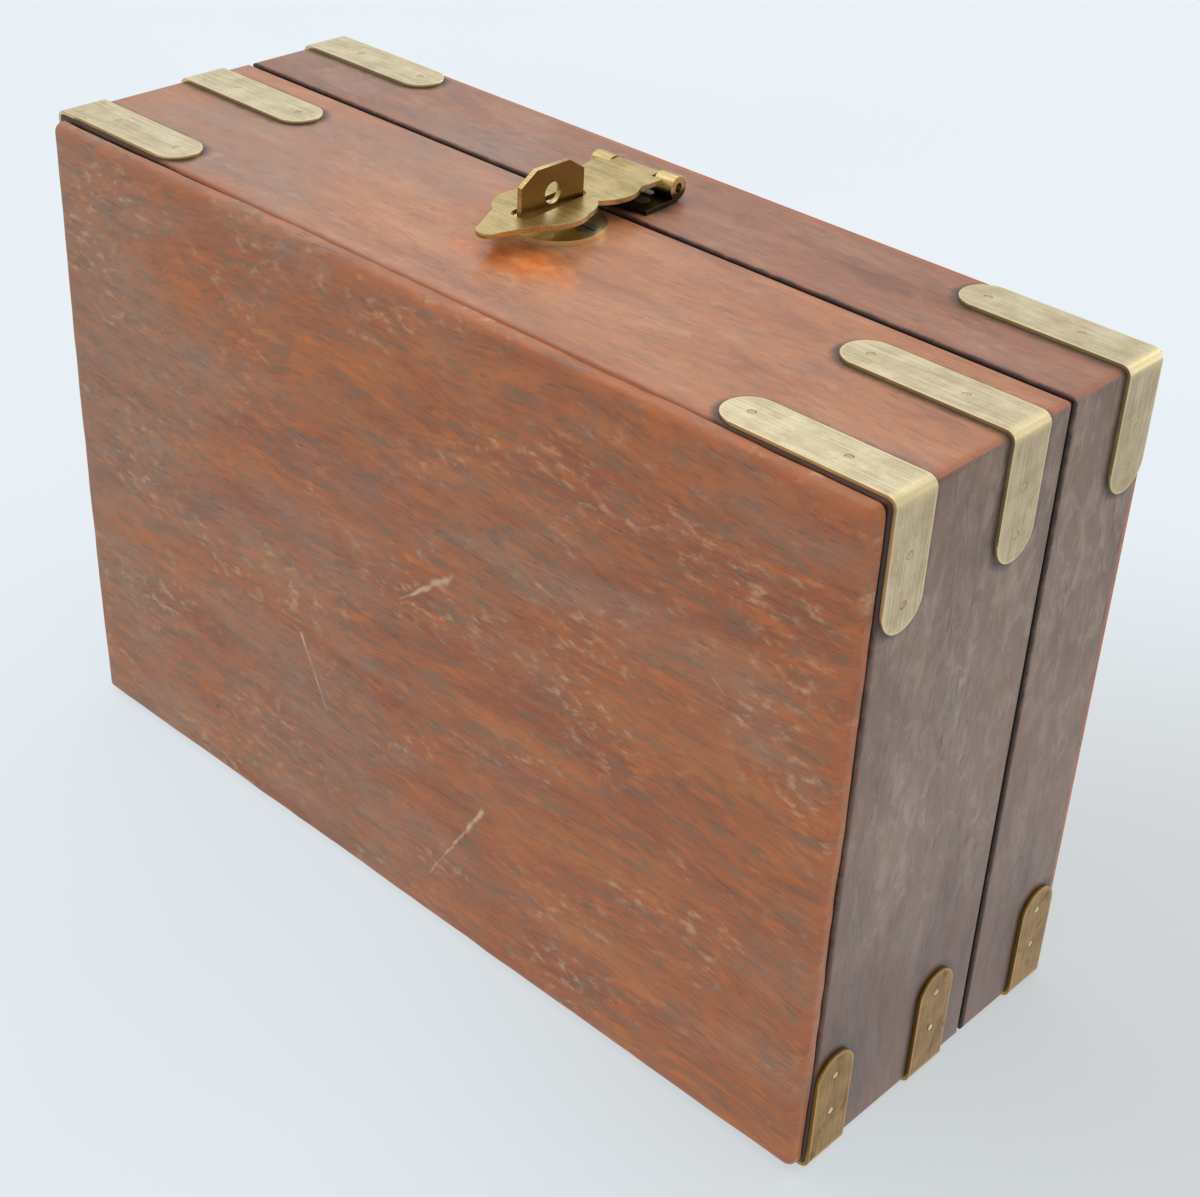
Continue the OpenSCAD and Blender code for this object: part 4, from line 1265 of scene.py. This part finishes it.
@dataclass
class Studio:
    """Camera, lamps, sky and the two pale floors.

    Attributes:
        eye: Place of the camera.
        right, down, forward: Directions to the right and down in the picture, and into it.
        lens, sensor: Focal length and width of the sensor.
        aim: Place that the lamps face.
        sky: Colour behind everything.
        pale, shade: Colours of the floors, and of the box's shadow painted on them beside it.
        shaded: Middle of that painted shadow.
        radius: Radius of the floors.
    """

    eye: Vector = Vector((0.30596, -0.27014, -0.26964))
    right: Vector = Vector((0.722887, -0.041755, 0.689703))
    down: Vector = Vector((0.400459, 0.838755, -0.368948))
    forward: Vector = Vector((-0.563087, 0.542905, 0.623047))
    lens: float = 63.35
    sensor: float = 36.0
    aim: Vector = Vector((0.0, 0.0, 0.045))
    sky: Colour = srgb(232, 241, 247)
    pale: Colour = srgb(232, 236, 238)
    shade: Colour = srgb(206, 210, 211)
    shaded: Vector = Vector((0.16, 0.0, 0.13))
    radius: float = 2.4

    def camera(self) -> None:
        """Add the camera at the photograph's viewing angle."""
        data = bpy.data.cameras.new("camera")
        data.lens, data.sensor_width = self.lens, self.sensor
        data.clip_start, data.clip_end = 0.01, 50.0
        eye = bpy.data.objects.new("camera", data)
        turn = Matrix((self.right, -self.down, -self.forward)).transposed().to_4x4()
        eye.matrix_world = Matrix.Translation(self.eye) @ turn
        place_in_scene(eye)
        bpy.context.scene.camera = eye

    def lamp(self, name: str, place: Triple, size: float, power: float) -> None:
        """Add one square soft lamp that faces the box.

        Args:
            name: Name of the lamp.
            place: Where it hangs.
            size: Length of its side.
            power: Its power in watts.
        """
        data = bpy.data.lights.new(name, "AREA")
        data.size, data.energy = size, power
        lamp = bpy.data.objects.new(name, data)
        lamp.location = place
        lamp.rotation_euler = (self.aim - Vector(place)).to_track_quat("-Z", "Y").to_euler()
        place_in_scene(lamp)

    def world(self) -> None:
        """Light the box evenly and show a pale sky to the camera alone."""
        world = bpy.data.worlds.new("studio")
        bpy.context.scene.world = world
        world.use_nodes = True
        world.node_tree.nodes.clear()
        g = Graph(world.node_tree)
        seen = g.node("Background", {"Color": self.sky}).outputs[0]
        light = g.node("Background", {"Color": srgb(250, 250, 252), "Strength": 0.72}).outputs[0]
        g.node("OutputWorld", {"Surface": g.choose(g.node("LightPath").outputs["Is Camera Ray"], light, seen)})

    def floor_material(self, name: str, behind_glass: bool) -> Material:
        """Build a floor that shows from its upper side alone, carries the box's painted shadow and fades into the
        sky.

        Args:
            name: Name of the material.
            behind_glass: Whether the part above the box's foot shows only through the other floor.

        Returns:
            The material.
        """
        material, g, shader = new_material(name, Roughness=1.0, Specular_IOR_Level=0.0)
        here = g.place()
        tone = g.ramp(g.noise(here, 7.0, 3.0, 0.5), ((0.3, srgb(226, 231, 234)), (0.7, self.pale)))
        plane = (1.0, 0.0, 1.0) if behind_glass else (1.0, 1.0, 0.0)
        # Painted shadow: beside the box the floors darken to the shade colour, both in their lit colour and in their
        # glow.
        off = g.vector("MULTIPLY", g.vector("SUBTRACT", here, self.shaded), plane)
        painted_shadow = g.spread(g.length(off), 0.24, 0.03, 0.0, 0.85)
        g.feed(shader.inputs["Base Color"], g.mix(painted_shadow, tone, self.shade))
        glow = g.node("Emission", {"Color": g.mix(painted_shadow, self.sky, self.shade)}).outputs[0]
        far = g.choose(g.spread(g.length(here), 0.5, 1.5, 0.72, 1.0), shader.outputs[0], glow)
        hidden = g.node("NewGeometry").outputs["Backfacing"]
        if behind_glass:
            above = g.math("GREATER_THAN", g.parts(here)[2], 0.0)
            direct = g.math("LESS_THAN", g.node("LightPath").outputs["Transparent Depth"], 0.5)
            hidden = g.most(hidden, g.times(above, direct))
        shown = g.choose(hidden, far, g.node("BsdfTransparent").outputs[0])
        g.feed(material.node_tree.nodes["Material Output"].inputs["Surface"], shown)
        return material

    def floor(self, name: str, place: Triple, turn: Triple, behind_glass: bool) -> None:
        """Add one round floor that only the camera sees.

        Args:
            name: Name of the floor.
            place: Its middle.
            turn: Its rotation.
            behind_glass: Whether it shows only through the other floor.
        """
        select_none()
        bpy.ops.mesh.primitive_circle_add(
            vertices=96, radius=self.radius, fill_type="NGON", location=place, rotation=turn,
        )
        disc = bpy.context.active_object
        disc.name = name
        bpy.ops.object.transform_apply(location=True, rotation=True, scale=True)
        disc.data.materials.append(self.floor_material(name, behind_glass))
        for ray in ("diffuse", "glossy", "transmission", "volume_scatter", "shadow"):
            setattr(disc, "visible_" + ray, False)

    def build(self) -> None:
        """Set up everything round the box."""
        self.camera()
        self.world()
        self.lamp("key_lamp", (-0.35, -1.25, 0.25), 1.8, 9.4)
        self.lamp("top_lamp", (0.3, -0.2, 1.3), 1.0, 5.0)
        self.lamp("back_lamp", (0.2, 1.3, 0.6), 1.5, 4.2)
        self.floor("floor", (0.0, 0.0, -0.4 * MM), (0.0, 0.0, 0.0), False)
        self.floor("table", (0.0, 85.3 * MM, 0.0), (math.pi / 2, 0.0, 0.0), True)
        bpy.context.scene.view_settings.view_transform = "Standard"
        log.info("studio: camera, three lamps and two floors")


def main() -> None:
    """Build the classes in order and report each piece."""
    logging.basicConfig(level=logging.INFO, format="%(name)s: %(message)s")
    select_none()
    for part in (Studio, Case, Straps, Hardware, Fittings, Baize):
        part().build()


if __name__ == "__main__":
    main()
